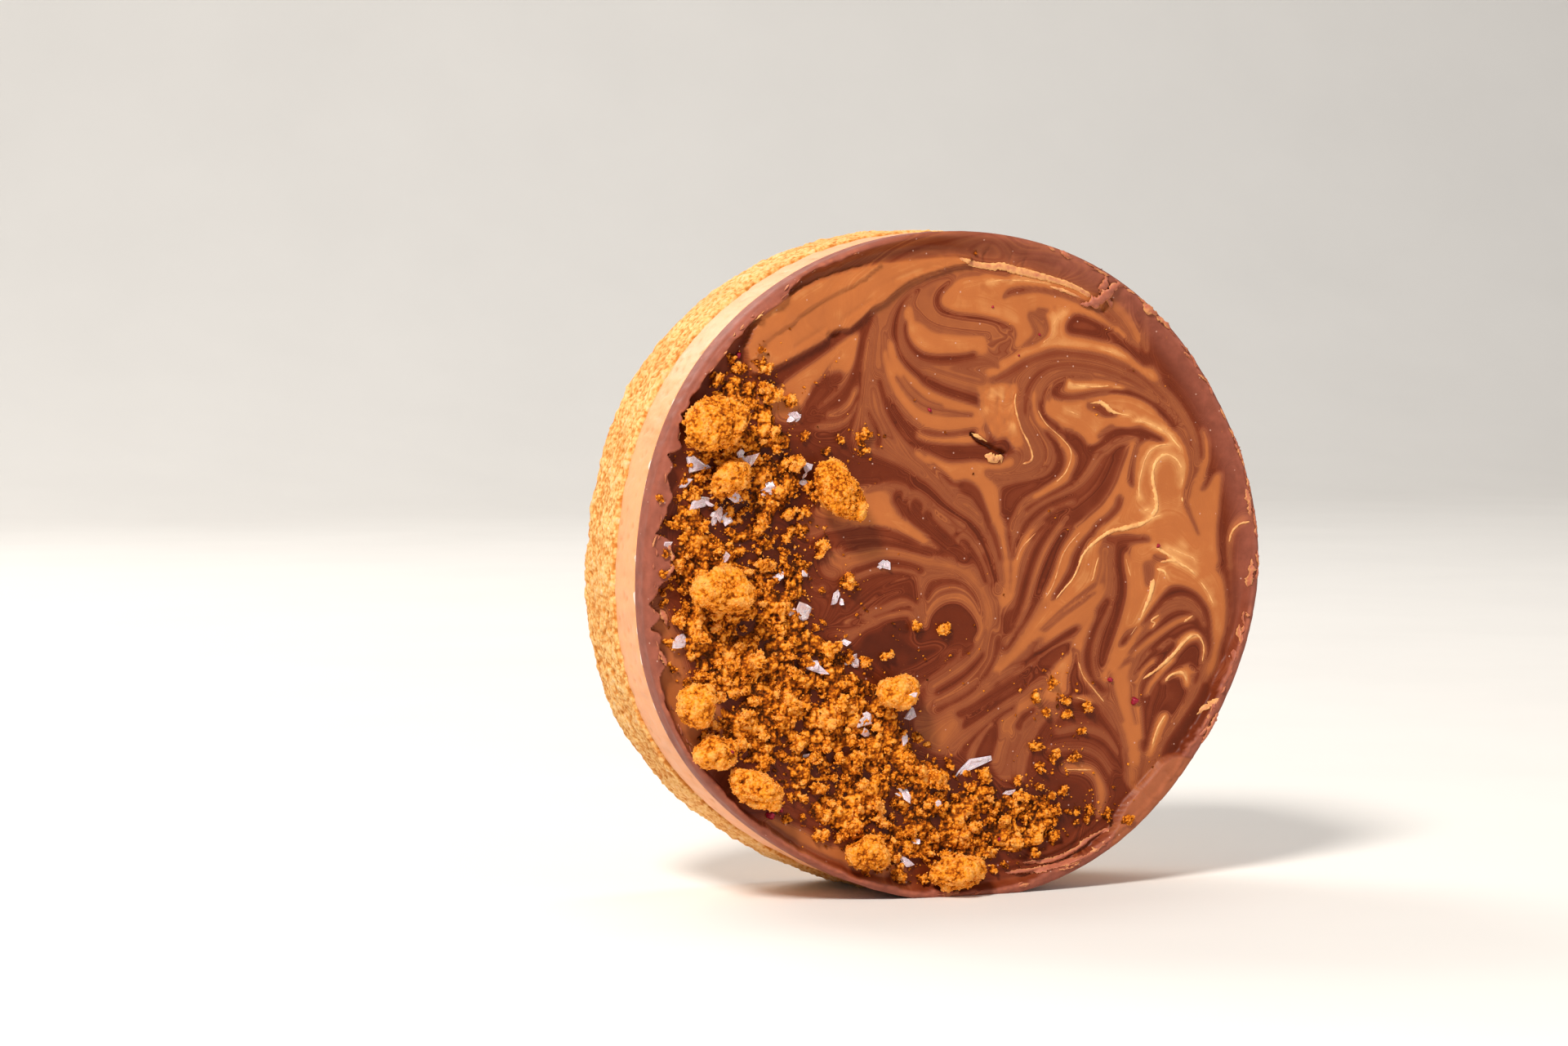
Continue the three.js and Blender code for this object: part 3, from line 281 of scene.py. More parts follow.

# The marbling, stroke by stroke over the dark chocolate: tone from 0, dark, to 1, caramel; half-width; path.
# The dark stroke from -1,35.6 to 7,34.7 is painted shadow under the scraped ribbon at the top.
# Tones above 1 give the palest caramel, partly painted highlight along raised lines.
SWIRLS = """
.3 .3: -12,28.9 -10.5,30.2 -9,31.2 -7.5,32.3 -6,33.4 -4,34.4 -1.5,35.1 1,35.5 3,35.4
.48 .8: -10,24 -9.8,27 -9,30 -7.6,31.6 -5.5,33.2 -3,34.3 0,34.9 3,35
.05 .28: -4.5,33 -6.3,31.7 -7.3,30 -7.7,27.5 -7.2,25.2 -5.8,23.5 -3.8,22.1
.05 .55: -3.8,22.1 -1.5,21 1,20.2 3.3,19.4 5,18.2 5.6,16.8
.55 .35: -5.2,32.6 -6.5,30.8 -6.9,28.5 -6.6,26.8 -5.6,25.2 -4.3,24.2 -2,23.4 1,22.6 3.5,22
.7 .4: -3.5,23.2 -1,22.2 1.5,21.5 3.5,21 5,20.3
.05 .4: -6.2,29 -6.3,27.5 -5.6,26 -4.3,25 -2.5,24.7 -.5,24.8 1.5,25 2.4,25.3
.35 .25: -3.5,24 -1,23.9 1.5,24.2 4,24.3 6,23.5
1 .5: -6,30.3 -5.9,28.8 -5.2,27.3 -3.8,26.2 -2,25.8 0,25.7 2,25.8 3.4,26.3
.98 .55: -4.6,28.2 -3,27.1 -1,26.8 1.5,26.7 3.6,26.9
.42 1: 7.5,27.4 5.5,27.7 3,28.3 0,28.7 -2.5,29.2 -4,30.4 -4.3,32 -3.2,33.4 -1,34.2
.62 .25: -4.9,30 -3.5,28.8 -1.5,28 1.5,27.6 4.5,27.4
.08 .22: -.6,33.7 -1.9,32.6 -2.2,31.4 -1.6,30.4 0,29.9 2,29.6 4,29.4 6,28.9 7.6,28.2
1 .5: -.8,31.6 -.1,32.8 1.5,33.8 4,34.1 7,34 10,33.8 13,33.3
1 .9: .5,31.3 3,31.2 6,30.4 8.6,29 9.2,27.4
1 .7: 1.5,32.6 4,32.5 7,31.3 9,30.7 11,31.4 14,31.3
.6 .2: 3.6,33.2 4.4,32.7 5,32.4
.25 .3: -1,35.6 1,35.9 3,35.7 5,35.1 7,34.7
1.12 .12: 4.3,33.7 6,34 8,34 10,33.9 12.5,33.6
.12 .24: 6.3,31.8 7.5,32.6 9,32.9 11,32.9 13,32.5 15,32 17,31.2 19,30.3 20.6,29.1 22,27.7 23.6,26 25.6,24
.45 .14: 9,33.2 12,33 14.5,32.4 16.5,31.7
.92 .35: 8,33.7 12,33.5 15,32.8 18,31.5 20,30.4
1 .42: 9,31.4 11,32 13,31.8 15.5,31.1 18,30.2 20,29.2 21.8,27.9 23.3,26.5
.02 .95: 16.1,28.7 17.5,28.5 19.5,27.9
.06 .6: 19.5,27.9 21.5,27.1 23.3,25.7 25,24
1.05 .48: 15,30.2 14,29.1 13.8,27.8 14.5,26.8 17,26.4 20,25.9 22.5,24.9 24.5,23.6 26.2,22.1
1 .28: 15,30.4 17,30.3 19,29.4 21,28.4 22.3,27.3
1.05 .45: 12.8,30.6 13.3,28.6 12.8,27 11.2,26.1 9,25.3 7,24 5.5,23
.95 .55: 8.4,26.6 8.9,28.2 9.2,30
.5 .7: 10,29.8 10.8,28.9 11.4,27.9 10.9,27 9.8,26.5
.25 .16: 11,30.5 12.3,30.4 13.3,30.8
.28 .14: 11.7,29.6 12.2,28.2 11.5,26.9
.46 .7: 6.2,28 7,27.5 7.4,26.9 6.4,26.1
.35 .14: 5.5,24.6 7.5,25.2 9.3,26.2 11,27
1.25 .09: 11.5,26 13,26.2 15,26.1 17,25.9 19.5,25.5 21.8,24.9
.22 .34: 5.5,22.3 8,23.6 10,24.5 12.5,25.1 15,25.2 18,24.9 21,24.2 24,22.9 26,21.5 28.2,19.4
.5 .28: 8.7,20 9,21.6 10.5,23.4 13,24.3 16,24.4 19,24 22,23.1 25,21.6 27.3,19.7
.15 .25: 9.3,18 9.4,20 10.3,22 12,23.3 14.5,23.8 17,23.6 20,23 23,21.9 25.3,20.7
.62 .34: 10.8,18 10.9,20 11.5,21.5 13,22.8 15,23.2 18,22.9 21,22.2 24,21.2 26.5,19.7
.2 .2: 11.6,18.5 11.7,20 12.3,21.3 13.6,22.2 15.5,22.5 18,22.3
.6 .22: 12.6,19.4 12.4,20.5 13.2,21.6 14.4,22.1
.08 .3: 14.6,21.9 13.4,21.3 13.1,20.5 14,19.9 16,19.8 18,20.2 20,20.6 22,20.6 24,20.2 26,19.3 28,17.6
 29.3,16.2
1.15 .32: 15,21.8 15.3,21.2 16.6,21.3 18.5,21.4 20.5,21.3 22.2,21
.5 .2: 16,22.1 19,22 22,21.5 24,20.7 26,19.8
1 .35: 12.8,19.3 15,19.2 17,19.4 19,19.8 21,19.9 24,19.4 26.5,18.2
.7 .28: 20.3,30.9 22,29.5 23.5,27.8 24.3,26.4
1.1 .09: 20.6,31.3 22.5,29.9 24,28 24.6,26.7
.3 .18: 20.2,30.2 21.8,28.8 23.2,27.1 24.6,25.2
.55 .18: 25,30 25.3,27.5 25.6,25.6
.1 .8: 26,30 27,26 28.5,23.5 31,20.5 32.5,18
.04 .95: -22.5,22.6 -20,24.2 -18,25.3 -16,26.5
.04 .55: -16,26.5 -14,27.6 -12.4,28.8 -11.2,29.8
1 .85: -22.5,20.4 -20,22.2 -18.3,23.3 -16.5,24.6 -14.5,25.9 -13.2,26.9
1 .6: -21.5,19.5 -20,20.3 -19.3,21
.02 .8: -18.1,19.4 -17.5,20.4 -16.2,21.6
.03 .35: -16.2,21.6 -15.4,22.4 -14.8,22.9
.4 .22: -17.6,18.9 -16.3,19.9 -14.8,21.2 -13.8,22.5
.03 .4: -18.1,18.5 -16.2,18.9 -14.4,20.2 -13.3,21.7 -12.7,23.2 -12.3,25 -11.9,27 -11.3,28.8
.9 .45: -15.6,24 -14.2,23.6 -13.4,24.4 -12.9,26.2
.35 .1: -17,22.4 -16.2,23.7 -15.1,25 -14,26
.8 .22: -16.2,18.2 -14.6,18.5 -13.4,19.5 -12.8,21
.08 .24: -18.5,17.7 -16.5,17.5 -14.5,17.8 -13.2,18.8 -12.5,20.2
.6 .24: -17.2,16.8 -15,17 -13.4,18 -12.4,19.6
.12 .22: -17.5,15.9 -15.2,16.2 -13.6,17 -12.8,18.4
.1 .16: -13.6,15.5 -13,17.3 -12.5,19 -12.1,21 -12,23.2
.52 .26: -12.9,16 -12.2,18.5 -11.8,21 -11.5,24 -11,27
.45 .12: -12.2,15.5 -11.8,18 -11.4,21.5 -11,25
.55 .4: -11.5,16.6 -11.5,19 -11.2,22 -10.8,25 -10.4,28
.08 .18: -11.3,18.6 -10.7,17.6 -10,16.6 -9.6,15.2 -9.9,14.4
.52 .45: -10.6,21 -10,18.4 -9,16.4 -7.5,14.3 -6,12.7 -4,11
.1 .2: -9.6,22 -9,20 -8,18.2 -6.5,16.3 -5,14.5
.52 .28: -9.3,24 -8.7,21.5 -7.7,19.5 -6,17.6 -4.5,16.5
.1 .17: -8.3,20.2 -7.3,18.7 -6,17.3 -4.5,16.2 -3,15.8 -1,15.6 1,15.8 2.6,16
.92 .45: -8.9,25.5 -8.3,23.2 -7,21 -5.5,19.1 -3.8,17.7 -2,17 0,16.9 2,17.2 3.2,17.6
.32 .16: -7.6,22.6 -6.3,20.8 -5,19.5 -3.5,18.7 -1.5,18.4 .5,18.2 2.5,18
.92 .5: -8,26.2 -7.3,24.3 -6,22.7 -4.5,21.3 -3,20.3 -1,19.6 1,19 3,18.5
.5 .14: -6.7,22.6 -5.3,21 -3.5,19.8 -1.5,19
.6 .35: -9.2,28 -8.9,26 -8.6,24.4
.02 .45: -8,19 -6.4,16.7 -5,15.1 -3.4,14.3
.01 .72: -3.4,14.3 -1,13.7 1,13.5 3,13.3 4.6,13 6.2,13
.95 .34: -4.6,15.5 -3,15 0,14.9 2,15 3.4,15.2
.95 .45: -4.5,13.6 -2.8,12.5 -1.2,11.6 .5,11.5 2.5,11.9 5,11.8 7,12.3
.92 .62: .5,10.8 2.2,11 3.4,10.4 4.3,8.8 5.1,6.6 5.9,4.2
.88 .42: 5.9,4.2 6.5,2 6.9,0 7.1,-2 7.1,-4
.08 .18: -5,14.4 -3.2,12.7 -1.6,11.2 -.3,9.9 .8,9.8
.25 .1: -3.6,12 -2,10.3 -.7,8.8 .1,8
.5 .55: -8.5,15.2 -6,13 -4,11.5 -2,9.7 -.5,8 1,6.7 2.6,5.5 4,4 5,2.3 5.8,.3 6.2,-2
.06 .42: 1.3,9.7 3,8.7 3.8,7 4.7,5 5.5,3 6.1,.6
.66 .28: .4,7.6 2,6.9 3.4,5.8
.01 .95: -13,11.6 -10.5,11.5 -8,11.2 -6,10.6
.02 .45: -6,10.6 -4.4,9.7 -3,8.6 -1.5,7.3 .5,6 2,5.2 3.3,3.9 4.3,2.2 5.2,.2 5.8,-2
.42 .08: -12,11.7 -9.5,11.3 -7,11.2 -5.5,10.7
.5 .3: -12,14 -10.5,14 -8.5,13.1 -6.5,12.1 -5,11.1
.6 .24: -11.3,8.9 -9.8,9.4 -7.8,9.7 -6.4,9.4 -6.1,8.9
.95 .9: -13.5,7.2 -11.5,7.8 -10,7.7 -9,6.6
.92 .55: -14,5.8 -11,6 -9,5.8 -7.4,5.2 -5.6,4.1 -3.8,2.9
.55 .3: -3.8,2.9 -2,1.9 0,.8
.01 .5: -7.2,7.8 -6.4,6.8 -5.2,5.8 -3.8,4.7 -2.4,3.5 -1,2.3 1,1
.5 .14: -6.6,8.2 -6,8.7 -5,8.9 -3.6,8.3 -2,7 0,5.8 1.5,4.8
.45 .11: -5.4,6.4 -5.9,7.5 -5.1,8.2 -4.1,7.8 -2.6,6.3
.01 .28: -5.1,7.5 -4.5,6.5 -3.5,5.5 -2,4.2 -.5,3
.48 .11: -3.9,5.5 -4,6.7 -3.2,6.9 -2,6 -.6,5
.02 .2: -3.2,6.2 -2.6,5.4 -1.4,4.2 0,3
.65 .32: -2.2,6 -1.2,5.3 .2,4.7 1.5,4 2.6,3 3.6,1.6
.45 .1: -2,5.2 -.8,4.2 .4,3 1.8,1.6
.5 .11: .6,3.2 1.2,3.7 2,3.2 3,2 4,0 4.8,-2
.05 .16: .2,3.6 1,4.2 2.2,3.8 3.4,2.4 4.4,.4
.02 .14: .9,2.9 1.7,2.7 2.5,1.6 3.4,.2 4.2,-2
.55 .22: 4.2,3.3 5,1.4 5.6,-.8 5.9,-3
.02 .48: -16,3.9 -13,4.1 -10,4.1 -8,3.7 -6,3 -4,2.2 -2,1.8 0,1
.38 .09: -14,3.4 -11,3.6 -8.5,3.3 -6,2.6 -3.5,1.6 -1,.8
.04 .3: -14,2.6 -11,2.9 -8,2.6 -5,1.9 -3,1.3
.42 .1: -14.2,1.5 -14.6,2.3 -13.4,2.8
.4 .08: -12.5,2.4 -10.5,2.6 -8,2.4 -6,1.9
.72 .36: -15,1 -12,1 -10,1.6 -8,1.8 -6,1.4 -4,.9 -2,.5 0,-.1 1.5,-1 2.8,-2.3 3.8,-4 4.4,-6 4.5,-8
.05 .24: -12.6,-.3 -10,.4 -7.5,.5 -5.2,0 -4.2,-.6
.45 .18: -12.5,-1 -10,-.3 -7.2,-.4 -5,-.8
.01 .55: -13,-4.6 -10,-2.8 -7,-2.2 -5.4,-2.6 -5,-4
.02 .3: -13.5,-3.2 -10.5,-1.5 -7.5,-.9 -5.5,-1.2
.42 .1: -14,-6.4 -11,-4.1 -8.5,-2.1 -6,-1.3 -4.6,-1.5
.36 .08: -13,-6.6 -11,-5.1 -9,-3.6 -7,-2.9
.36 .08: -14,-5 -11.5,-3 -9,-1.6 -6.5,-.9
.5 .32: -3.9,-6.4 -4.3,-4 -4.3,-2 -3.5,-.9 -2,-.8 0,-1 1.8,-2 3.2,-3.7 3.9,-6
.08 .22: -3.6,-3.6 -2.6,-2.3 -1,-1.9 .5,-2 2,-2.8 3,-4.1 3.6,-5.6
.6 .26: -3.6,-5.6 -2.9,-4.3 -1.8,-3.2 -.3,-2.8 1,-3 2.3,-3.9 3.2,-5.3 3.8,-7
.85 .28: -3.7,-7 -2.9,-5.2 -1.5,-4.2 0,-3.9 1.3,-4.2 2.5,-5.3 3.4,-6.8 3.6,-7.9 3,-9
.01 1.1: -2.3,-6.6 -.6,-5.5 1.2,-6.2 2.2,-7.5 1,-8.6 -2,-8.2 -4.3,-8.8
.01 1.3: -11,-8.5 -8,-9 -5,-10 -2.6,-10.2 -5,-11.5
.01 .8: -8.6,-7 -6.8,-6.8 -6,-7.5
.66 .28: -13.5,-8.2 -11,-6.8 -9,-6 -7.5,-5.7 -6,-5.5 -5.3,-6.2 -5.2,-7.2
.52 .2: -11.4,-5.8 -9,-5.1 -7,-4.3 -5.5,-4.3 -5,-5 -4.8,-6.2
.04 .12: -10.4,-5.9 -8.2,-5.3 -6.2,-4.95 -5.3,-5.5
.36 .12: -6.4,-13 -3.3,-11.4 -1,-10.3 .5,-9.9 1,-10.2 .4,-11.1 -1,-12.1 -3,-13.3 -4.4,-14.4
.02 .3: -4.5,-13 -2,-11.7 0,-10.6
.48 .38: 4.2,-8 3.2,-10.3 1.6,-11.9 -.5,-13.2 -2.6,-14.4
.04 .32: 3.9,-10.9 2,-12.7 0,-14 -2,-15
.5 .42: 5,-8 4.7,-10.4 3.6,-12.4 2,-14 0,-15.3 -2,-16.2
.12 .2: 5.7,-9 5.3,-11.4 4,-13.4 2.4,-15 0,-16.4 -2,-17
.04 .24: 7,6.4 7.2,4 7.4,2 7.45,.8
.5 .2: 8.4,5.4 7.8,3.4 7.6,1 7.5,-1.2 7.3,-3.4
.92 .24: 12,5 10.5,4 9.3,2.7 8.5,1.3 8.05,0 7.9,-2 7.7,-4
.05 .18: 9.5,5 8.9,3.9 8.3,2.4 7.9,.8
.42 .18: 12.8,4.8 11,3 9.8,1 9.1,-1 8.4,-3 7.8,-5
.04 .45: 13,5 11.8,3.3 10.8,1.5 10,-.5 9.3,-3 8.6,-5.5 7.8,-8
.85 .24: 15,5.5 14,4.3 13,3 12,1.5 11.3,0 10.6,-1.8 10,-3.8 9.3,-5.5 8.3,-7.5 7,-9.6
.01 .62: 14.4,3.4 13.6,2 12.7,0 11.8,-2 11,-4
.02 .35: 11,-4 10,-6 8.6,-8 7,-10
.38 .1: 12.2,-1.3 11.4,-3.4 10.4,-5.4 9.2,-7.4
.92 .48: 17.5,4.2 16,3 14.9,1.8 14.3,.5 13.9,-.8 13.2,-2.3 12.2,-4
.75 .4: 12.2,-4 11,-6 9.5,-8 8,-10 6.2,-12
.08 .3: 19.6,4.7 18,3.2 16.9,1.8 16.3,.6 15.9,-.7 15,-2 14.2,-3 13.4,-4
1 .65: 18.4,2.2 18,.6 17.7,-1 17.2,-2 16,-3.2 14.5,-4.7
.92 .55: 14.5,-4.7 12.5,-6.5 10,-8.8 8,-10.8 6,-12.8
.14 .12: 18.6,-2.8 17,-3.8 15,-5.1 13,-6.7 11.5,-8
.12 .11: 18.8,-3.6 17,-4.8 15.3,-5.8 13.5,-7 12,-8.2
.62 .85: 20,1.3 20.2,-.5 19.8,-2.6
.85 .6: 19.8,-2.6 18.2,-4.6 17,-5.6 15,-7 12,-8.9
.62 .45: 12,-8.9 9,-11 6,-13.2 4,-14.6
.04 .62: 22.3,1.3 22.2,-.6 22.6,-2.4 22.4,-4.4 21.6,-7 20.7,-9.6 19.9,-12
.48 .26: 20.9,.4 21.2,-2 21.1,-4 20.5,-6 19.5,-8 18.8,-10 18.6,-12 19,-14
.02 .38: 20.6,-4.9 19.8,-6 18.7,-8 18,-10 17.8,-12 18.3,-14 19.2,-15.6
.82 .5: 18.2,-6.8 17.3,-8.5 16.4,-10 15.5,-11.5
1 .62: 15.5,-11.5 14.4,-13 13.6,-14.8
.92 .2: 17,-9.8 16.7,-11.4 17,-13 17.9,-14.4 19.2,-15.8 20.8,-17.4
.03 .45: 16,-10.6 16.1,-12.4 15.9,-14 16.6,-15.2
.03 .24: 16.2,-8 14.5,-8.8 12.5,-10 10,-11.6 7.5,-13.2 5,-14.7
.45 .16: 15.6,-9.2 13,-10.3 10.5,-12 8,-13.4 5,-15
.02 .6: 14.8,-10.4 13,-11.3 11,-12.6 8.5,-14
.94 .34: 22.8,.8 23,-1 23.3,-3 23.1,-5 22.4,-7.5 21.4,-10 20.6,-12 20.3,-14
.42 .45: 8.9,20.4 8.8,18.2 9.5,16.2 10.6,14.2 11,12.6 10.4,11.5 8.6,10.9 6.5,10.7 4.5,11.1
.52 .32: 10,19 10.1,17.4 11.4,15.7 12.6,14 12.9,12.6 12.2,11.2 10.5,10.4 8,10.2 5.5,10.4
.3 .12: 9.8,17.6 11,15.6 12,13.8 12,12.5 11.2,11.5 9.4,10.8 7,10.6
.96 .2: 10.6,20.4 10.6,18.6 11.3,17 12.6,15.9 14,14.7
.98 .42: 14,14.7 15,13.5 15.4,12.3 15.1,11 14.1,9.8 12.5,8.9 10.6,8
.66 .38: 10.6,8 9,7 8.1,5.6 7.7,4
1.2 .09: 11.5,17 13,15.6 14.5,14.2 15.2,13.1 15.3,12 14.7,10.8 13.4,9.6 11.8,8.6
.04 .28: 11.3,19.2 11.6,18 12.6,17 14,15.9 15.4,14.8
.02 .62: 15.4,14.8 16.8,13.8 17.3,12.9 17,11.6 16.2,10.4
.04 .26: 16.2,10.4 15.2,9.5 13.5,8.7 11.5,7.7 9.6,6.5
.02 .42: 12.3,15.8 13.5,14.4 14.1,13 13.9,11.6 12.7,10.3 10.7,9.5
.02 .85: 10.7,9.5 8.9,8.9 7.9,7.8 7.3,6.3
1 .8: 13,18.7 15,17.8 17,16.9 18.3,15.8 18.6,14.9
.98 .62: 14.5,19 16.5,18.8 18,17.7 19.5,16.6 21.2,17.1 23,16.9
.16 .4: 17.8,18.9 19,18.6 20.2,17.9 21.2,17.7
1.05 .6: 21.2,19.2 23.2,19.1 25.2,18.2 26.8,17 28.4,15.6
.2 .2: 18.9,15 20,16 21,16.6
.05 .36: 18,13.6 19.6,14.5 21.2,15.6 22.8,15.8 24.2,15.5 25.8,15.1 27.4,14.6
.62 .24: 16.6,9.8 17.6,10.9 18.8,12.3 20.4,13.6 22,14.5 23.6,14.9 24.1,14.4
.9 .42: 24.1,14.4 23.5,13 22.9,11.4 22.2,9.7 21.2,8 20,6.5 18.4,5.3 16.6,4
.05 .28: 25.2,15 24.3,14 23.9,12.6 23.6,11 23.7,9.2
.1 .75: 22,13.2 21.4,11.8 20.6,10 19.6,8.4 18.2,7 16.4,5.8 14.9,4.9
.2 .45: 20,12.6 19,11 17.6,9.4 15.6,8 13.5,6.8
.5 .24: 18.9,12.1 18,10.9 16.6,9.5 14.5,8.5 12.5,7.7 11,7 9.7,6 8.7,4.8 8.2,3.4
.3 .12: 21.2,12.5 20.2,10.6 18.8,8.9 16.9,7.4 15,6.1
.06 .18: 15.6,8.2 13,7.3 11.2,6.3 9.9,5.2 9.2,4
.46 .2: 15.6,7.4 13.2,6.6 11.7,5.6 10.4,4.4
.08 .28: 14.8,6.4 12.8,5.6 11.4,4.5 10.4,3.2
.1 .34: 22,7.6 21.8,6.5 20.6,5.3 19.6,4.7
.96 .55: 23.2,8.6 22.9,7 22,5.6 20.8,4.7 19.4,3.6
.16 .5: 20.6,2.7 22.5,2.9 24.4,2.7 26,2.4
.95 .5: 24.6,3.6 22.8,3.8 21.2,3.5
1 1.1: 25.4,11 26.4,8.5 28.4,10.8 29.6,8.4
1 1.2: 24.2,6 26.5,4.6 29,5.4 31,3.6 32.4,1.8
.98 .45: 24.5,12.6 24.4,10.6 24.3,8.4
1 .45: 24.9,13.6 26.3,14.2 28.2,13.7 29.3,13.5
1.15 .11: 24.9,7.6 24.6,8.3 24.6,10 24.9,11.5 25.7,13 27,14 28.9,14.1
1.05 .45: 28.4,15.6 29.8,14.6 30.8,13 31,11.2 30.6,9.4
.3 .18: 29.3,16.2 30.5,14.8 31.3,13 31.5,11 31,9 30.8,7.5 31.3,6 32,4.5 32.7,3
.58 .3: 26.5,20.5 28.5,18.7 30,17 31.3,15 31.9,13 31.9,11 31.5,9 31.2,7.8
.25 .12: 27,19.9 29,17.9 30.6,16 31.7,13.6
.62 .28: 26,22 28,20.4 30,18.4 31.6,16 32.4,13.8 32.5,12
.08 .3: 28.4,21.6 30.4,19.6 32,17.2 32.9,15 33.1,12.6
.88 .34: 33.1,15.6 33.6,14 33.7,12 33.1,10.2 32.5,8.6
.92 .62: 32.5,8.6 32.6,6.6 33.4,4.6 34,2.4 34,0
.92 .48: 35.2,10.1 34.9,8 34.8,6 34.6,4 34.6,2 34.9,0
.08 .16: 33.2,8.6 34,9.6 34.7,10.8
.05 .7: 33.8,17.4 34.9,14.6 35,12 34.6,10.9
.05 .6: 36.5,11 36.6,8.4 36.4,6 36.1,3.6 36.1,1.4 36.4,-.6
.9 .2: 38.2,5 37.4,4 37,2.6 36.9,1 37,-1
1 .45: 28,-2 27,-4 25.5,-6.5 24,-9 22.2,-11.4 20.9,-13
1 .4: 24.2,-.4 24.6,-2.5 24.4,-5 23.6,-7.4
.4 .36: 25.8,-.6 26,-2.3
.3 .24: 26.9,.5 28.1,.3
1 .9: 25,1.4 27,2.3 29,1.6 31,.2 33,-1.4 34.4,-3.4 35.3,-6 35.5,-9
1 .6: 29,-1.4 31,-2.2 32.8,-3.4 34,-4.8
.85 .5: 35.5,-9 35.1,-12 33.9,-14.8
.02 .34: 22.6,-10 25,-7.6 27,-5.6 28.5,-4.4 30,-3.8 31.5,-4 33,-5 34,-6.8 34.3,-9 34,-11 33.3,-13.2 32.4,-15
.45 .1: 27,-6 28.5,-4.9 30.3,-4.5 32,-5 33,-6.1 33.7,-7.8
.55 .26: 24.5,-9.4 26.5,-7.5 28,-6.1 29.5,-5.5 31,-5.7 32.5,-6.6 33.4,-8
1.1 .24: 26.4,-8.1 27.1,-6.9
.05 .22: 22.3,-13 24,-10.7 26,-9 28,-7.6 30,-6.6 31.8,-6.6 33,-7.8 33.4,-9.8
.82 .28: 21,-14.2 23,-11.8 25.5,-9.9 28,-8.5 30,-7.5 31.9,-6.95
.02 .34: 24.2,-13.6 26,-11.6 28,-9.8 30,-8.4 32,-7.9 33.2,-8.9 33.9,-10.6
.6 .26: 23.6,-14 25.4,-12 27,-10.7 28.7,-9.6
.03 .26: 26.2,-14 27.8,-12.2 29.4,-10.6
1.1 .28: 27.2,-14.2 28.5,-12.5 30,-10.8 31.3,-9.6 32.5,-9.15 33.4,-9.6 33.75,-10.8 33.4,-12.6 33,-14
.08 .5: 28.9,-13.8 30.2,-12.3 31.6,-11.1 32.6,-11.4 32.4,-12.8
1 .28: 30.2,-13.9 31.1,-13.5 32,-13.8
.12 .3: 36.5,1.6 36.6,-1 37,-4 37,-7 36.3,-10 35.4,-13 34.6,-15
.5 .1: 36.95,2.5 36.9,0 37.2,-3 37.3,-6 36.9,-8.4
.05 .6: 38.4,2 38.4,-2 38.2,-6 37.6,-10
.36 .22: 6,-13 3.2,-14.2 .5,-15.6 -2,-16.6
.64 .28: 9.2,-12.5 6.6,-13.4 4,-15.1 2,-16.4 -.5,-17.4
.01 .4: 11,-12.7 8.5,-13.7 6,-15.1 3,-16.9 .8,-17.8
.38 .08: 9,-14.4 6.5,-15.6 4,-16.9 1,-18.3
.03 .22: 9.5,-15 6.5,-16.4 4,-17.9 1.5,-19.2
.6 .32: 12,-14.6 9,-15.8 6.5,-17.1 4,-18.8 1.5,-20.4 -.3,-21.6
.7 .5: .2,-18.6 -.6,-19.6 -1.4,-20.8
.1 .18: 8,-17.2 5.5,-18.4 3.5,-20 1.5,-21.8
.78 .36: 10.6,-16.5 9.6,-17.1 8.8,-17.4
.72 .38: 8.2,-18.4 7.1,-19.2 6.8,-20 7.5,-20.3
.02 .28: 10.4,-17.7 9.2,-18.5 8.6,-19.3 9,-20
.5 .36: 12,-17.8 10,-19.1 8.4,-21 7.4,-23 7.1,-25
.42 .36: 13,-18.1 11.1,-19.6 9.8,-21.5 9.1,-23.6 8.8,-26
.8 .24: 10.8,-20 10,-21.2 9.6,-22.6
.06 .26: 12.6,-19 11.2,-21 10.5,-23 10.4,-25
.04 .55: 4.9,-19.8 4.4,-21.4 3.6,-22.8
.58 .2: 2.3,-23.3 3,-21.6 3.9,-20.3 5,-19.2
.62 .24: 5.8,-23.6 6.2,-21.9 7,-20.6
.8 .34: 14.8,-24.8 16.6,-24.8 18.4,-25.4 19.4,-26.8 19.6,-28.8 19.4,-30.6
.01 1.5: 11.5,-26.6 13.6,-26.9 15.8,-27.6 16.8,-29.2 15.6,-31 13,-30
.05 .24: 14,-23.6 17,-23.7 19.2,-24.6 20.4,-26.4
.38 .22: 13,-22.5 15,-22.3 17.5,-22.5 19.3,-23.5 20.8,-25.4
.05 .26: 13.4,-21.4 15.4,-21.2 17.8,-21.4 19.9,-22.3 21.5,-24.2
.4 .2: 14,-20.4 16,-20.1 18.4,-20.4 20.4,-21.4 22.1,-23.4
.05 .24: 14.4,-19.2 16.5,-18.9 19,-19.2 21,-20.6 22.4,-22.8
.9 .12: 16,-16.2 17.2,-16.4 18.4,-16.9
.06 .34: 14.8,-16.8 16.8,-17.4 18.8,-17.8
.75 .26: 20.8,-17.4 22.1,-19.8 23,-22.4 23.5,-25 23.6,-27
.08 .2: 19.2,-15.6 20.6,-17.4 21.8,-19.6 22.8,-22.2 23.2,-24.6
.42 .22: 18.6,-16.4 20.4,-18.5 21.9,-21 22.8,-24 23,-26.6
.05 .18: 18.4,-17.8 20.4,-19.8 21.9,-22.4 22.5,-25.4
.88 .5: 22.6,-12.8 22.2,-14.8 22.5,-17 23.3,-19.4 24,-22 24.3,-24.6
.7 .26: 24.3,-24.6 24.3,-26 24.1,-27.4
.15 .12: 20.7,-13 20.8,-14.8 21.4,-16.8 22.4,-19.4
.3 .12: 24.6,-13.6 24,-15.4 23.9,-17.4 24.4,-19.8
1 .2: 26.6,-12.2 25.2,-13.3 24.4,-14.8 24.3,-17 24.7,-19.4 25.1,-21.6
.08 .26: 27.4,-12.6 26,-13.7 25.2,-15.3 25,-17
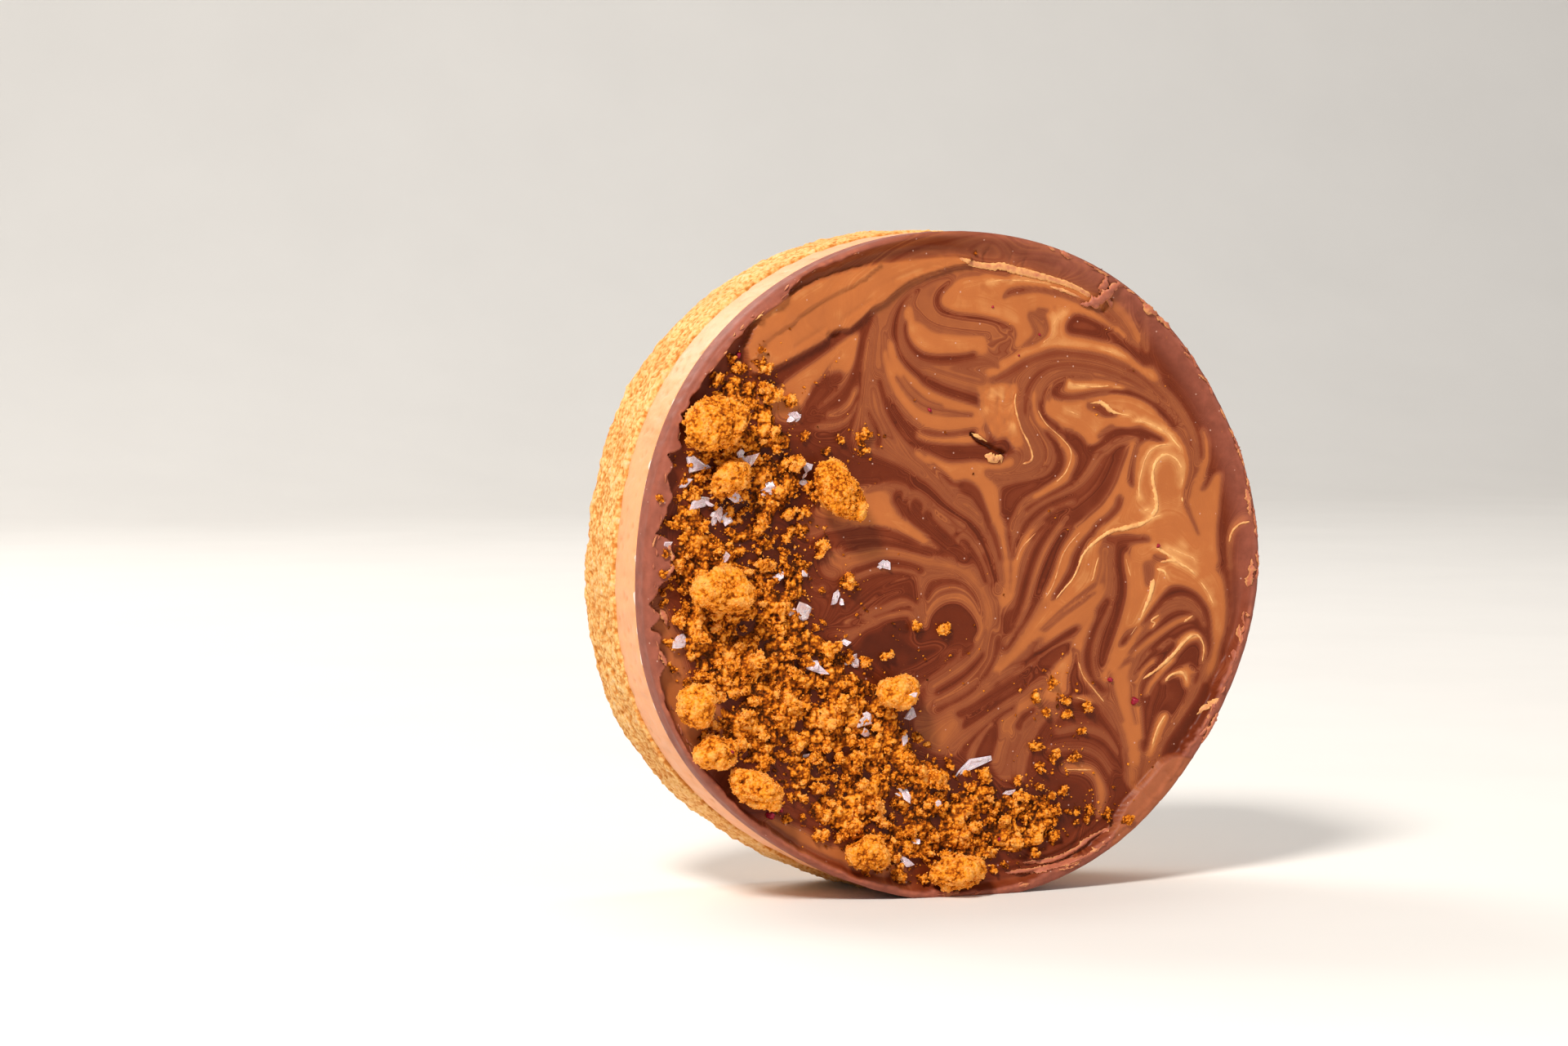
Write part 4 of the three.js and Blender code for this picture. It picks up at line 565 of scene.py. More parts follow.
1 .18: 29.5,-12.2 27.9,-13.5 26.5,-14.9 25.8,-16.2
.04 .46: 28.4,-14 27.2,-15.6 26.3,-17.4 25.9,-20 25.5,-22.6
1.05 .28: 27.9,-14.8 29,-13.9 30.4,-13.6 31.1,-14.3 31.1,-15.3
.08 .7: 29,-15.6 30,-15.6 30.1,-16.8 28.8,-18
.48 .24: 31.9,-13.4 31.9,-15.5 31,-17.5 29.7,-19.4 28.2,-21.5 26.7,-24
.62 .34: 33.8,-12.6 33.1,-14.6 32.2,-16.5 30.6,-18.6 28.9,-20.8 27.4,-23 25.8,-26
1.05 .34: 28.3,-18.9 27.7,-19.8 27,-21.4 26.3,-23.3
.05 .9: 34.4,-14.6 33,-17.4 31,-20.4 29,-22.8
.02 1.2: 33.8,-17.4 32.2,-20.2 30.2,-22.6
.25 .2: 25.2,-24 25,-26 24.6,-27.6
.06 .7: 21.8,-27 22.4,-28.4 20.8,-30.6 18.6,-32.4
.6 .4: -18.5,5 -15.5,4.9 -13.5,5.4
.05 1.6: -30,5 -24,0 -20,-2
.05 2: -22,12 -28,8 -30,-8
.04 2.2: -24,-12 -16,-14 -12,-20 -18,-24 -8,-28 0,-28
.4 .2: -21.5,-3 -20.2,-1.8 -20,-.6
.4 .2: -18.6,-1.6 -17.8,-2.4 -17,-2.2
.42 .2: -17,.6 -16.6,-.4 -15.6,-.6
.36 .16: -16,-8 -13,-7.4 -10.5,-6.4
.8 .7: -36.4,-9 -36,-13 -34.6,-17
.85 .9: -23.5,-29.8 -20,-31.4 -16.5,-33.6 -12.8,-36
.05 1: -25,-27.4 -20,-29.4 -16,-31.4
"""

# Creases in the chocolate: depth, half-width, and the path.
CREASES = """
.08 .36: -14.5,29.3 -13,30.3 -11,31.5
.08 .3: -8,34 -5,35 -2,35.7
.1 .3: -20.5,26.2 -17,28.2
.22 .16: 4,35.9 3.9,37 4.3,38
.12 .14: 7.3,35.6 7.4,37.4
.14 .14: 9,35.3 9.2,36.6
.5 .3: 20.3,31.6 20,31 19.8,30.5
.3 .3: -16.4,27.6 -15.4,27.7 -14.9,28.1
.12 .2: 24,-27 25.4,-28.6 27.4,-29.4
.1 .2: 27.6,-25.6 29,-26.4 31,-26.6
"""
# The line of the gouge, and the outline of the scraped patch.
GOUGE = "2.4,15.6 3.5,14.8 5,14 6.6,13.3"
SCRAPE = "3.2,21.2 6,21.8 8.3,21.6 8.1,19.4 8.4,16.6 9.2,14.4 8.2,13.6 6.8,15.2 5.6,14.8 4.4,16.4 3.4,18.4"


# ---- Numbers ----


def numbers(text):
    """The points of a path written as x,z pairs."""
    return np.array([[float(v) for v in pair.split(",")] for pair in text.split()])


def strokes(table):
    """The lines of a table: the numbers before each colon, and the path after it."""
    for line in table.replace("\n ", " ").strip().splitlines():
        head, text = line.split(":")
        yield [float(v) for v in head.split()], numbers(text)


def lattice(i, j, k):
    """A fixed number from -1 to 1 for each corner of a lattice."""
    mask = 0xFFFFFFFF
    seed = (i * 374761393 + j * 668265263 + k * 2147483647 + 1013904223) & mask
    state = (seed + 0x6D2B79F5) & mask
    mixed = ((state ^ (state >> 15)) * (1 | state)) & mask
    mixed = ((mixed + (((mixed ^ (mixed >> 7)) * (61 | mixed)) & mask)) & mask) ^ mixed
    return (mixed ^ (mixed >> 14)) / 4294967296.0 * 2 - 1


def eased(t):
    return t * t * (3 - 2 * t)


def step(start, end, value):
    """Rises smoothly from 0 at start to 1 at end."""
    return eased(np.clip((np.asarray(value, float) - start) / (end - start), 0, 1))


def between(value, start, full, fading, end):
    """Rises from 0 at start to 1 at full, and falls again from fading to end."""
    return step(start, full, value) * (1 - step(fading, end, value))


def mix(a, b, share):
    return a + (b - a) * share


def noise(x, y, z):
    """Smooth noise from -1 to 1."""
    x, y, z = np.broadcast_arrays(*(np.asarray(v, float) for v in (x, y, z)))
    i, j, k = (np.floor(v).astype(np.int64) for v in (x, y, z))
    u, v, w = eased(x - i), eased(y - j), eased(z - k)

    def row(dj, dk):
        return mix(lattice(i, j + dj, k + dk), lattice(i + 1, j + dj, k + dk), u)

    return mix(mix(row(0, 0), row(1, 0), v), mix(row(0, 1), row(1, 1), v), w)


def rough(places, grain, octaves=3, seed=0.0):
    """Noise of several sizes at places, the largest of them a grain wide."""
    total, height = 0.0, 1.0
    for octave in range(octaves):
        q = places * (2**octave / grain) + seed + 17.3 * octave
        total = total + height * noise(q[:, 0], q[:, 1], q[:, 2])
        height *= 0.5
    return total


def nodules(places, grain, seed=0):
    """Distance to the nearest of a field of scattered seeds, in grains."""
    q = places / grain
    cell = np.floor(q).astype(np.int64)
    best = np.full(len(q), 9.0)
    for di in (-1, 0, 1):
        for dj in (-1, 0, 1):
            for dk in (-1, 0, 1):
                c = cell + (di, dj, dk)
                d = 0.0
                for axis in range(3):
                    shift = 0.5 + 0.42 * lattice(c[:, 0] + 31 * axis + seed, c[:, 1], c[:, 2])
                    d = d + (c[:, axis] + shift - q[:, axis]) ** 2
                best = np.minimum(best, d)
    return np.sqrt(best)


def crumbly(places, grain, seed=0.0):
    """Puffy relief with sharp creases, as broken biscuit has: from about 0 to 1."""
    total, height = 0.0, 0.62
    for octave in range(3):
        q = places * (2**octave / grain) + seed + 9.7 * octave
        total = total + height * np.abs(noise(q[:, 0], q[:, 1], q[:, 2]))
        height *= 0.62
    return total


def around(column, degrees):
    """Reads one column of the rim's table at angles."""
    first = RIM[0][0]
    turned = (degrees - first) % 360 + first
    at = np.array([row[0] for row in RIM] + [first + 360.0])
    value = np.array([row[column] for row in RIM] + [RIM[0][column]])
    before = np.clip(np.searchsorted(at, turned, side="right") - 1, 0, len(RIM) - 1)
    share = eased((turned - at[before]) / (at[before + 1] - at[before]))
    return mix(value[before], value[before + 1], share)


def outline(angle):
    """The round's radius at an angle."""
    return RADIUS + sum(high * np.cos(times * angle - turn) for times, high, turn in OUTLINE_WAVES)


def smooth_path(points, parts=5):
    """A path through points, with parts short stretches between each two."""
    p = np.asarray(points, float)
    if len(p) < 3:
        t = np.linspace(0, 1, parts + 1)[:, None]
        return p[0] * (1 - t) + p[-1] * t
    p = np.vstack([2 * p[0] - p[1], p, 2 * p[-1] - p[-2]])
    t = np.linspace(0, 1, parts, endpoint=False)[:, None]
    runs = []
    for a, b, c, d in zip(p[:-3], p[1:-2], p[2:-1], p[3:]):
        bend, twist = 2 * a - 5 * b + 4 * c - d, 3 * b - a - 3 * c + d
        runs.append(0.5 * (2 * b + (c - a) * t + bend * t**2 + twist * t**3))
    return np.vstack(runs + [p[-2:-1]])


def distance(places, path):
    """How far places are from a path."""
    best = np.full(len(places), 1e9, np.float32)
    for a, b in zip(path[:-1], path[1:]):
        way = b - a
        t = np.clip((places - a) @ way / (way @ way + 1e-9), 0, 1)
        gap = places - a - t[:, None] * way
        best = np.minimum(best, (gap * gap).sum(1))
    return np.sqrt(best)


def near_path(places, path, reach):
    """Which places lie in the box round a path, widened by a reach."""
    return ((places > path.min(0) - reach) & (places < path.max(0) + reach)).all(1)


def cover(places, text, edge):
    """1 inside a closed outline, falling to 0 over its edge."""
    p = numbers(text)
    ring = np.vstack([p, p[:1]])
    x, z = places.T
    inside = np.zeros(len(places), bool)
    for (ax, az), (bx, bz) in zip(ring[:-1], ring[1:]):
        crosses = (az > z) != (bz > z)
        at = ax + (z - az) * (bx - ax) / ((bz - az) or 1e-9)
        inside ^= crosses & (x < at)
    near = near_path(places, p, 2)
    away = np.full(len(places), 9.0)
    away[near] = distance(places[near], ring)
    return step(-edge / 2, edge / 2, np.where(inside, away, -away))


def flat(x, z):
    """Points in the rim's plane."""
    return np.stack([x, np.zeros(len(x)), z], 1)


def on_ring(radius, y, angle):
    """Points at a radius and a depth, at angles."""
    return np.stack(np.broadcast_arrays(radius * np.cos(angle), y, radius * np.sin(angle)), 1)


# ---- The chocolate's face ----


def fold_height(degrees, from_edge):
    start, end, distances, height, width = FOLDS
    away = np.abs((degrees + 180) % 360 - 180 - (start + end) / 2) / ((end - start) / 2)
    along = np.clip(1 - away * away, 0, 1)
    waves = 0.25 * noise(degrees / 4, 3.0, 0.0)
    return sum(height * along * np.exp(-(((from_edge - d + waves) / width) ** 2)) for d in distances)


def rim_widths(degrees):
    """The width of the rim's land and of the slope inside it, at angles."""
    is_torn = (degrees - TORN_FROM) % 360 < TORN_TO - TORN_FROM
    torn = TORN_DEPTH * (noise(degrees / 5.5, 7.3, 0) + 0.8 * noise(degrees / 1.5, 1.9, 4))
    lobes = 1.5 * np.abs(noise(degrees / 2.6, 5.1, 2)) + 0.25 * noise(degrees / 1.1, 2.2, 5) - 0.3
    torn = torn + between(degrees % 360, 146, 154, 190, 200) * lobes
    return np.maximum(around(1, degrees) + np.where(is_torn, torn, 0), 0.12), around(2, degrees)


def left_share(degrees):
    """1 where the round's side is seen past its rim and its edge is worn round, 0 elsewhere."""
    return between(degrees % 360, 94, 112, 236, 262)


def face(x, z):
    """How far the chocolate's face lies behind the rim's plane, without its finest relief."""
    x, z = np.asarray(x, float), np.asarray(z, float)
    angle = np.arctan2(z, x)
    degrees = np.degrees(angle)
    from_edge = outline(angle) - np.hypot(x, z)
    land, slope = rim_widths(degrees)
    depth = POOL_DEPTH * step(0, 1, (from_edge - land) / slope)
    places = np.stack([x.ravel(), z.ravel()], 1)
    for text, level, _ in LAPS:
        share = cover(places, text, 0.3).reshape(x.shape)
        depth = mix(depth, np.minimum(depth, level), share)
    depth = depth - fold_height(degrees, from_edge)
    worn = left_share(degrees)
    wide, deep = (mix(a, b, worn) for a, b in zip(RIM_ROUNDING, WORN_ROUNDING))
    rounding = np.clip(1 - np.maximum(from_edge, 0) / wide, 0, 1)
    return np.maximum(depth, 0) + deep * (1 - np.sqrt(1 - rounding**2))


def marbling(places):
    """The marbling's tone, and a second field whose level lines run along the swirls."""
    places = places.astype(np.float32)
    rng = np.random.default_rng(5)
    base, flow_base = (0.5 / SWIRL_REACH) ** TONE_POWER, (0.5 / SWIRL_REACH) ** FLOW_POWER
    tone, weight = np.full(len(places), base * 0.05), np.full(len(places), base)
    flow, flow_weight = np.zeros(len(places)), np.full(len(places), flow_base)
    for (level, half), path in strokes(SWIRLS):
        path = smooth_path(path).astype(np.float32)
        near = near_path(places, path, SWIRL_REACH)
        away = np.maximum(distance(places[near], path), 0.02)
        fade = np.clip(1 - away / SWIRL_REACH, 0, 1)
        share = (half / away) ** TONE_POWER * fade
        tone[near] += share * level
        weight[near] += share
        share = (half / away) ** FLOW_POWER * fade
        flow[near] += share * rng.uniform()
        flow_weight[near] += share
    return tone / weight, flow / flow_weight


# ---- Meshes ----


class MeshMaker:
    """Collects points and faces, and makes one object of them in the scene's metres."""

    def __init__(self):
        self.points, self.faces, self.values, self.smooth, self.count = [], [], {}, [], 0

    def add(self, points, faces, smooth=True, **values):
        points = np.asarray(points, float)
        self.points.append(points)
        for sort in faces if isinstance(faces, tuple) else (faces,):
            self.faces.append(np.asarray(sort, np.int64) + self.count)
            self.smooth.append(np.full(len(sort), smooth))
        for key, value in values.items():
            self.values.setdefault(key, []).append(np.broadcast_to(np.asarray(value, float), len(points)))
        self.count += len(points)

    def make(self, name, material, nodes=()):
        co = np.vstack(self.points)
        co[:, 2] = np.maximum(co[:, 2], -CENTRE_HEIGHT)
        co = (co + CENTRE) * MM
        mesh = bpy.data.meshes.new(name)
        lengths = np.concatenate([np.full(len(f), f.shape[1]) for f in self.faces])
        corners = np.concatenate([f.ravel() for f in self.faces])
        mesh.vertices.add(len(co))
        mesh.vertices.foreach_set("co", co.astype(np.float32).ravel())
        mesh.loops.add(len(corners))
        mesh.loops.foreach_set("vertex_index", corners.astype(np.int32))
        mesh.polygons.add(len(lengths))
        starts = np.concatenate([[0], np.cumsum(lengths)[:-1]])
        mesh.polygons.foreach_set("loop_start", starts.astype(np.int32))
        mesh.update(calc_edges=True)
        for key, chunks in self.values.items():
            layer = mesh.attributes.new(key, "FLOAT", "POINT")
            layer.data.foreach_set("value", np.concatenate(chunks).astype(np.float32))
        mesh.polygons.foreach_set("use_smooth", np.concatenate(self.smooth))
        mesh.validate()
        piece = bpy.data.objects.new(name, mesh)
        bpy.context.scene.collection.objects.link(piece)
        piece.data.materials.append(material)
        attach(piece, "root")
        if nodes:
            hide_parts(*nodes)
        return piece


def read(items, key, kind=np.float32, width=3):
    """One property of all the items of a mesh's list, a row for each."""
    values = np.empty(len(items) * width, kind)
    items.foreach_get(key, values)
    return values.reshape(-1, width)


def grid_faces(index, turned=False):
    """Four-sided faces between neighbours in a grid of points' numbers."""
    corners = [index[:-1, :-1], index[:-1, 1:], index[1:, 1:], index[1:, :-1]]
    if turned:
        corners = [corners[0], *corners[:0:-1]]
    return np.stack(corners, -1).reshape(-1, 4)


def disc_grid(parts, radius):
    """A round sheet of four-sided faces: its x, its z, its faces, and its edge's points in order of angle."""
    line = np.linspace(-1, 1, parts + 1)
    a, b = np.meshgrid(line, line)
    wide = np.abs(a) >= np.abs(b)
    with np.errstate(divide="ignore", invalid="ignore"):
        rising, leaning = (math.pi / 4 * np.nan_to_num(v) for v in (b / a, a / b))
    turn = np.where(wide, rising, math.pi / 2 - leaning)
    reach = np.where(wide, a, b) * radius
    x, z = (reach * np.cos(turn)).ravel(), (reach * np.sin(turn)).ravel()
    index = np.arange((parts + 1) ** 2).reshape(parts + 1, parts + 1)
    edge = np.concatenate([index[:-1, -1], index[-1, :0:-1], index[:0:-1, 0], index[0, :-1]])
    return x, z, grid_faces(index), edge


def edge_angles(count):
    """The angles of the points on the edge of a round sheet."""
    return -math.pi / 4 + np.arange(count) * 2 * math.pi / count


def ring_faces(first, second):
    """Faces between two rings of points, given as their points' numbers."""
    return np.stack([first, second, np.roll(second, -1), np.roll(first, -1)], 1)


def fan(ring, tip, behind=False):
    """Faces from a ring of points to one tip, which look forwards, or backwards if behind."""
    following, tips = np.roll(ring, -1), np.full(len(ring), tip)
    return np.stack([ring, tips, following] if behind else [ring, following, tips], 1)


def stacked_rings(rings, around_count, start):
    """Faces between rings that follow each other from a first point on."""
    index = start + np.arange(rings * around_count).reshape(rings, around_count)
    faces = [ring_faces(index[i], index[i + 1]) for i in range(rings - 1)]
    return np.concatenate(faces), index


def soften(value, faces, times):
    """Evens a value out between neighbouring points of four-sided faces."""
    corners = faces.ravel()
    share = np.maximum(np.bincount(corners, minlength=len(value)), 1)
    for _ in range(times):
        middle = np.repeat(value[faces].mean(1), faces.shape[1])
        value = np.bincount(corners, middle, minlength=len(value)) / share
    return value


def grain_shape():
    """A grain with eight sides: its points and faces."""
    sides = [(0, 1, 2), (1, 3, 2), (3, 4, 2), (4, 0, 2), (1, 0, 5), (3, 1, 5), (4, 3, 5), (0, 4, 5)]
    return np.vstack([np.eye(3), -np.eye(3)]), np.array(sides)


def ball(levels):
    """A ball's points and three-sided faces, made by splitting an icosahedron."""
    g = (1 + math.sqrt(5)) / 2
    p = [(-1, g, 0), (1, g, 0), (-1, -g, 0), (1, -g, 0), (0, -1, g), (0, 1, g), (0, -1, -g), (0, 1, -g)]
    p += [(g, 0, -1), (g, 0, 1), (-g, 0, -1), (-g, 0, 1)]
    f = [(0, 11, 5), (0, 5, 1), (0, 1, 7), (0, 7, 10), (0, 10, 11), (1, 5, 9), (5, 11, 4), (11, 10, 2)]
    f += [(10, 7, 6), (7, 1, 8), (3, 9, 4), (3, 4, 2), (3, 2, 6), (3, 6, 8), (3, 8, 9), (4, 9, 5)]
    f += [(2, 4, 11), (6, 2, 10), (8, 6, 7), (9, 8, 1)]
    p = [np.array(v) / np.linalg.norm(v) for v in p]
    for _ in range(levels):
        middles, split = {}, []

        def middle(a, b):
            key = (min(a, b), max(a, b))
            if key not in middles:
                m = p[a] + p[b]
                p.append(m / np.linalg.norm(m))
                middles[key] = len(p) - 1
            return middles[key]

        for a, b, c in f:
            ab, bc, ca = middle(a, b), middle(b, c), middle(c, a)
            split += [(a, ab, ca), (b, bc, ab), (c, ca, bc), (ab, bc, ca)]
        f = split
    return np.array(p), np.array(f)


def ribbon(maker, path, halves, height, rng, rag, edge, tone, lift=0.0):
    """A thin strip with ragged edges of another tone, laid on the face along a path."""
    line = smooth_path(path, 6)
    run = np.concatenate([[0], np.cumsum(np.hypot(*np.diff(line, axis=0).T))])
    count = max(int(run[-1] / 0.17), 5)
    at = np.linspace(0, run[-1], count)
    line = np.stack([np.interp(at, run, line[:, k]) for k in (0, 1)], 1)
    way = np.gradient(line, axis=0)
    way /= np.linalg.norm(way, axis=1)[:, None] + 1e-9
    side = np.stack([-way[:, 1], way[:, 0]], 1)
    share = at / run[-1]
    half = np.interp(share, np.linspace(0, 1, len(halves)), halves)
    half = half * np.clip(np.minimum(share, 1 - share) * run[-1] / 0.35 + 0.12, 0, 1)
    across = np.array([-1, -0.72, -0.3, 0.3, 0.72, 1])
    pull = rag * rng.normal(size=(2, count))
    marks = np.arange(0, run[-1] + 1.2, 0.6)
    pull = pull + rag * np.interp(at, marks, rng.normal(size=len(marks)))
    sides = np.where(across < 0, -pull[0][:, None], pull[1][:, None]) * across**2
    ragged = half[:, None] * (across + sides)
    x, z = (line[:, k, None] + side[:, k, None] * ragged for k in (0, 1))
    base = face(x, z)
    bow = lift * np.sin(math.pi * share)[:, None]
    crown = height * np.sqrt(np.clip(1.02 - across**2, 0, 1)) * np.clip(half / max(halves), 0.3, 1)[:, None]
    crown = crown * (1 + 0.8 * rag * rng.normal(size=crown.shape))
    top = np.stack([x, base - bow - crown, z], -1)
    low = np.stack([x, base - bow + (0.06 if lift == 0 else 0.12 - 0.4 * crown), z], -1)
    points = np.concatenate([top, low]).reshape(-1, 3)
    tones = np.broadcast_to(tone + edge * across**4, top.shape[:2]).ravel()
    wide = len(across)
    index = np.arange(count * wide).reshape(count, wide)
    under = index + count * wide
    left, right = (np.stack([index[:, k], under[:, k]], 1) for k in (0, -1))
    start, end = (np.stack([index[k], under[k]]) for k in (0, -1))
    faces = [grid_faces(index, True), grid_faces(under), grid_faces(left), grid_faces(right, True)]
    faces += [grid_faces(start), grid_faces(end, True)]
    maker.add(points, np.concatenate(faces), tone=np.concatenate([tones, tones]))


def random_turns(rng, count):
    """Rotation matrices that point every way."""
    q = rng.normal(size=(count, 4))
    w, x, y, z = (q / np.linalg.norm(q, axis=1)[:, None]).T
    rows = [1 - 2 * (y * y + z * z), 2 * (x * y - z * w), 2 * (x * z + y * w)]
    rows += [2 * (x * y + z * w), 1 - 2 * (x * x + z * z), 2 * (y * z - x * w)]
    rows += [2 * (x * z - y * w), 2 * (y * z + x * w), 1 - 2 * (x * x + y * y)]
    return np.stack(rows, -1).reshape(-1, 3, 3)


def scatter(maker, rng, shape, centres, sizes, shades, uneven=0.2, smooth=True):
    """Adds an uneven, turned copy of a shape at each centre."""
    points, faces = shape
    count, corners = len(centres), len(points)
    body = points[None] * rng.uniform(0.72, 1.2, (count, 1, 3))
    body = body * (1 + uneven * np.clip(rng.normal(size=(count, corners, 1)), -1.6, 1.6))
    body = np.einsum("nij,nmj->nmi", random_turns(rng, count), body)
    body = body * np.asarray(sizes)[:, None, None] + np.asarray(centres)[:, None]
    copies = faces[None] + (np.arange(count) * corners)[:, None, None]
    maker.add(body.reshape(-1, 3), copies.reshape(-1, 3), smooth, shade=np.repeat(shades, corners))


def scatter_grains(maker, rng, centres, sizes, shades):
    scatter(maker, rng, grain_shape(), centres, sizes, shades, 0.3, smooth=False)


# ---- Finishes ----


def colour(*shades):
    """A displayed colour of 0 to 255 as linear light."""
    parts = (v / 255 for v in shades)
    return tuple(v / 12.92 if v < 0.04 else ((v + 0.055) / 1.055) ** 2.4 for v in parts)


class Finish:
    """A material, and short ways to add nodes to it."""

    def __init__(self, name, **constants):
        self.material = bpy.data.materials.new(name)
        self.material.use_nodes = True
        self.tree = self.material.node_tree
        self.shader = self.tree.nodes["Principled BSDF"]
        self.set(**constants)
        self.place = self.add("TexCoord").outputs["Object"]

    def set(self, **constants):
        for key, value in constants.items():
            self.shader.inputs[key.replace("_", " ")].default_value = value

    def add(self, kind, inputs=(), **settings):
        node = self.tree.nodes.new("ShaderNode" + kind)
        for key, value in settings.items():
            setattr(node, key, value)
        for key, value in dict(inputs).items():
            if isinstance(value, bpy.types.NodeSocket):
                self.tree.links.new(value, node.inputs[key])
            else:
                node.inputs[key].default_value = value
        return node

    def value(self, name):
        return self.add("Attribute", attribute_name=name).outputs["Fac"]

    def math(self, operation, *values, clamp=False):
        return self.add("Math", dict(enumerate(values)), operation=operation, use_clamp=clamp).outputs[0]

    def noise(self, size, detail=3.0, rough=0.55, place=None):
        """Noise from 0 to 1, its largest grains a size in millimetres wide."""
        scale = 1 / (size * MM)
        inputs = {"Vector": place or self.place, "Scale": scale, "Detail": detail, "Roughness": rough}
        return self.add("TexNoise", inputs).outputs["Fac"]

    def uneven(self, size, low=0.0, high=1.0, detail=3.0, rough=0.55):
        """Noise spread from a low value to a high one."""
        return self.span(self.noise(size, detail, rough), 0.3, 0.7, low, high)

    def specks(self, size):
        """Distance to the nearest of scattered points, a size in millimetres apart."""
        return self.add("TexVoronoi", {"Vector": self.place, "Scale": 1 / (size * MM)}).outputs["Distance"]

    def span(self, value, low, high, to_low=0.0, to_high=1.0):
        inputs = {0: value, 1: low, 2: high, 3: to_low, 4: to_high}
        return self.add("MapRange", inputs).outputs[0]

    def ramp(self, value, stops):
        node = self.add("ValToRGB", {0: value})
        band = node.color_ramp
        while len(band.elements) < len(stops):
            band.elements.new(0.5)
        for element, (at, shade) in zip(band.elements, stops):
            element.position = at
            element.color = (*shade, 1.0)
        return node.outputs["Color"]

    def blend(self, share, first, second):
        node = self.add("Mix", data_type="RGBA")
        for key, value in ((0, share), (6, first), (7, second)):
            if isinstance(value, bpy.types.NodeSocket):
                self.tree.links.new(value, node.inputs[key])
            else:
                node.inputs[key].default_value = value if key == 0 else (*value, 1.0)
        return node.outputs[2]

    def bump(self, height, distance, strength=1.0):
        node = self.add("Bump", {"Height": height, "Distance": distance * MM, "Strength": strength})
        self.tree.links.new(node.outputs[0], self.shader.inputs["Normal"])

    def colours(self, socket):
        self.tree.links.new(socket, self.shader.inputs["Base Color"])

    def roughness(self, socket):
        self.tree.links.new(socket, self.shader.inputs["Roughness"])


# ---- What a user would change ----


def length(label, text, default):
    return FloatProperty(name=label, description=text, default=default * MM, unit="LENGTH", precision=5)


def paint(label, text, red, green, blue):
    return FloatVectorProperty(
        name=label, description=text, default=colour(red, green, blue), size=3, subtype="COLOR", min=0, max=1
    )


class CookieSizes(bpy.types.PropertyGroup):
    face_grid: IntProperty(name="Face grid", description="Faces across the marbled face", default=320)
    marbling_relief: length("Marbling relief", "How far the paler swirls stand up", 0.035)
    ridge_height: length("Ridge height", "Height of the pale ridges on the swirls", 0.15)
    grain_size: length("Grain size", "Radius of a grain of crumb", 0.27)
    crumb_clumps: IntProperty(name="Clumps", description="Clumps of crumbs in the crescent", default=360)
    loose_grains: IntProperty(
        name="Loose grains", description="Single grains in and round the crescent", default=2200
    )
    stuck_grains: IntProperty(name="Stuck grains", description="Fine grains on the clumps", default=9000)
    bed_height: length("Bed height", "Height of the crescent's bed of fine crumbs", 0.75)
    lump_nodules: length("Lump nodules", "Width of the nodules on the biscuit lumps", 0.7)
    biscuit_grain: length("Biscuit grain", "Width of the grains in the shortbread's side", 0.95)


class CookieColours(bpy.types.PropertyGroup):
    dark: paint("Dark chocolate", "Darkest swirls", 102, 38, 13)
    deep: paint("Deep chocolate", "Between the dark and the middle swirls", 123, 54, 27)
    middle: paint("Middle chocolate", "Swirls of middle tone", 140, 74, 43)
    caramel: paint("Caramel chocolate", "Pale swirls", 182, 104, 53)
    # Bright caramel: the palest caramel, partly painted highlight on the raised streaks and ridges.
    bright: paint("Bright caramel", "Raised streaks", 236, 176, 108)
    # Rim: the rim's plain chocolate; on the smooth slope at the right it is painted sheen.
    rim: paint("Rim", "The rim's plain chocolate", 150, 84, 66)
    # Torn chocolate: paler than the rim, partly the torn chocolate's own colour and partly painted highlight
    # on raised edges.
    torn: paint("Torn chocolate", "Fresh torn edges of the rim", 184, 104, 74)
    layer: paint("Caramel layer", "Side of the caramel layer", 236, 165, 114)
    # Caramel shade: the darker caramel of the layer's pits and of its drags where they run low.
    layer_deep: paint("Caramel shade", "Scrapes in the caramel layer", 214, 138, 84)
    biscuit: paint("Biscuit", "Side of the shortbread", 244, 193, 118)
    biscuit_deep: paint("Biscuit pits", "Pits in the shortbread", 208, 128, 50)
    crumb: paint("Crumb", "Crumbs where they catch the light", 246, 147, 31)
    # Crumb shade: browner crumbs; darker multiples of it paint the shadow in the creases.
    crumb_deep: paint("Crumb shade", "Browner crumbs", 170, 82, 8)
    salt: paint("Salt", "Salt flakes", 248, 234, 238)
    berry: paint("Berry", "Specks of dried berry", 178, 16, 52)
    floor: paint("Floor", "The floor", 234, 230, 224)


def setting_names(group):
    return [key for key in group.bl_rna.properties.keys() if key not in ("rna_type", "name")]


def settings(group):
    """A group's settings by name, its colours as arrays and its lengths in millimetres."""
    values = {key: getattr(group, key) for key in setting_names(group)}
    for key, value in values.items():
        if isinstance(value, float):
            values[key] = value / MM
        elif not isinstance(value, int):
            values[key] = np.array(value)
    return SimpleNamespace(**values)


def sizes():
    return settings(bpy.context.scene.cookie_sizes)


def colours():
    return settings(bpy.context.scene.cookie_colours)


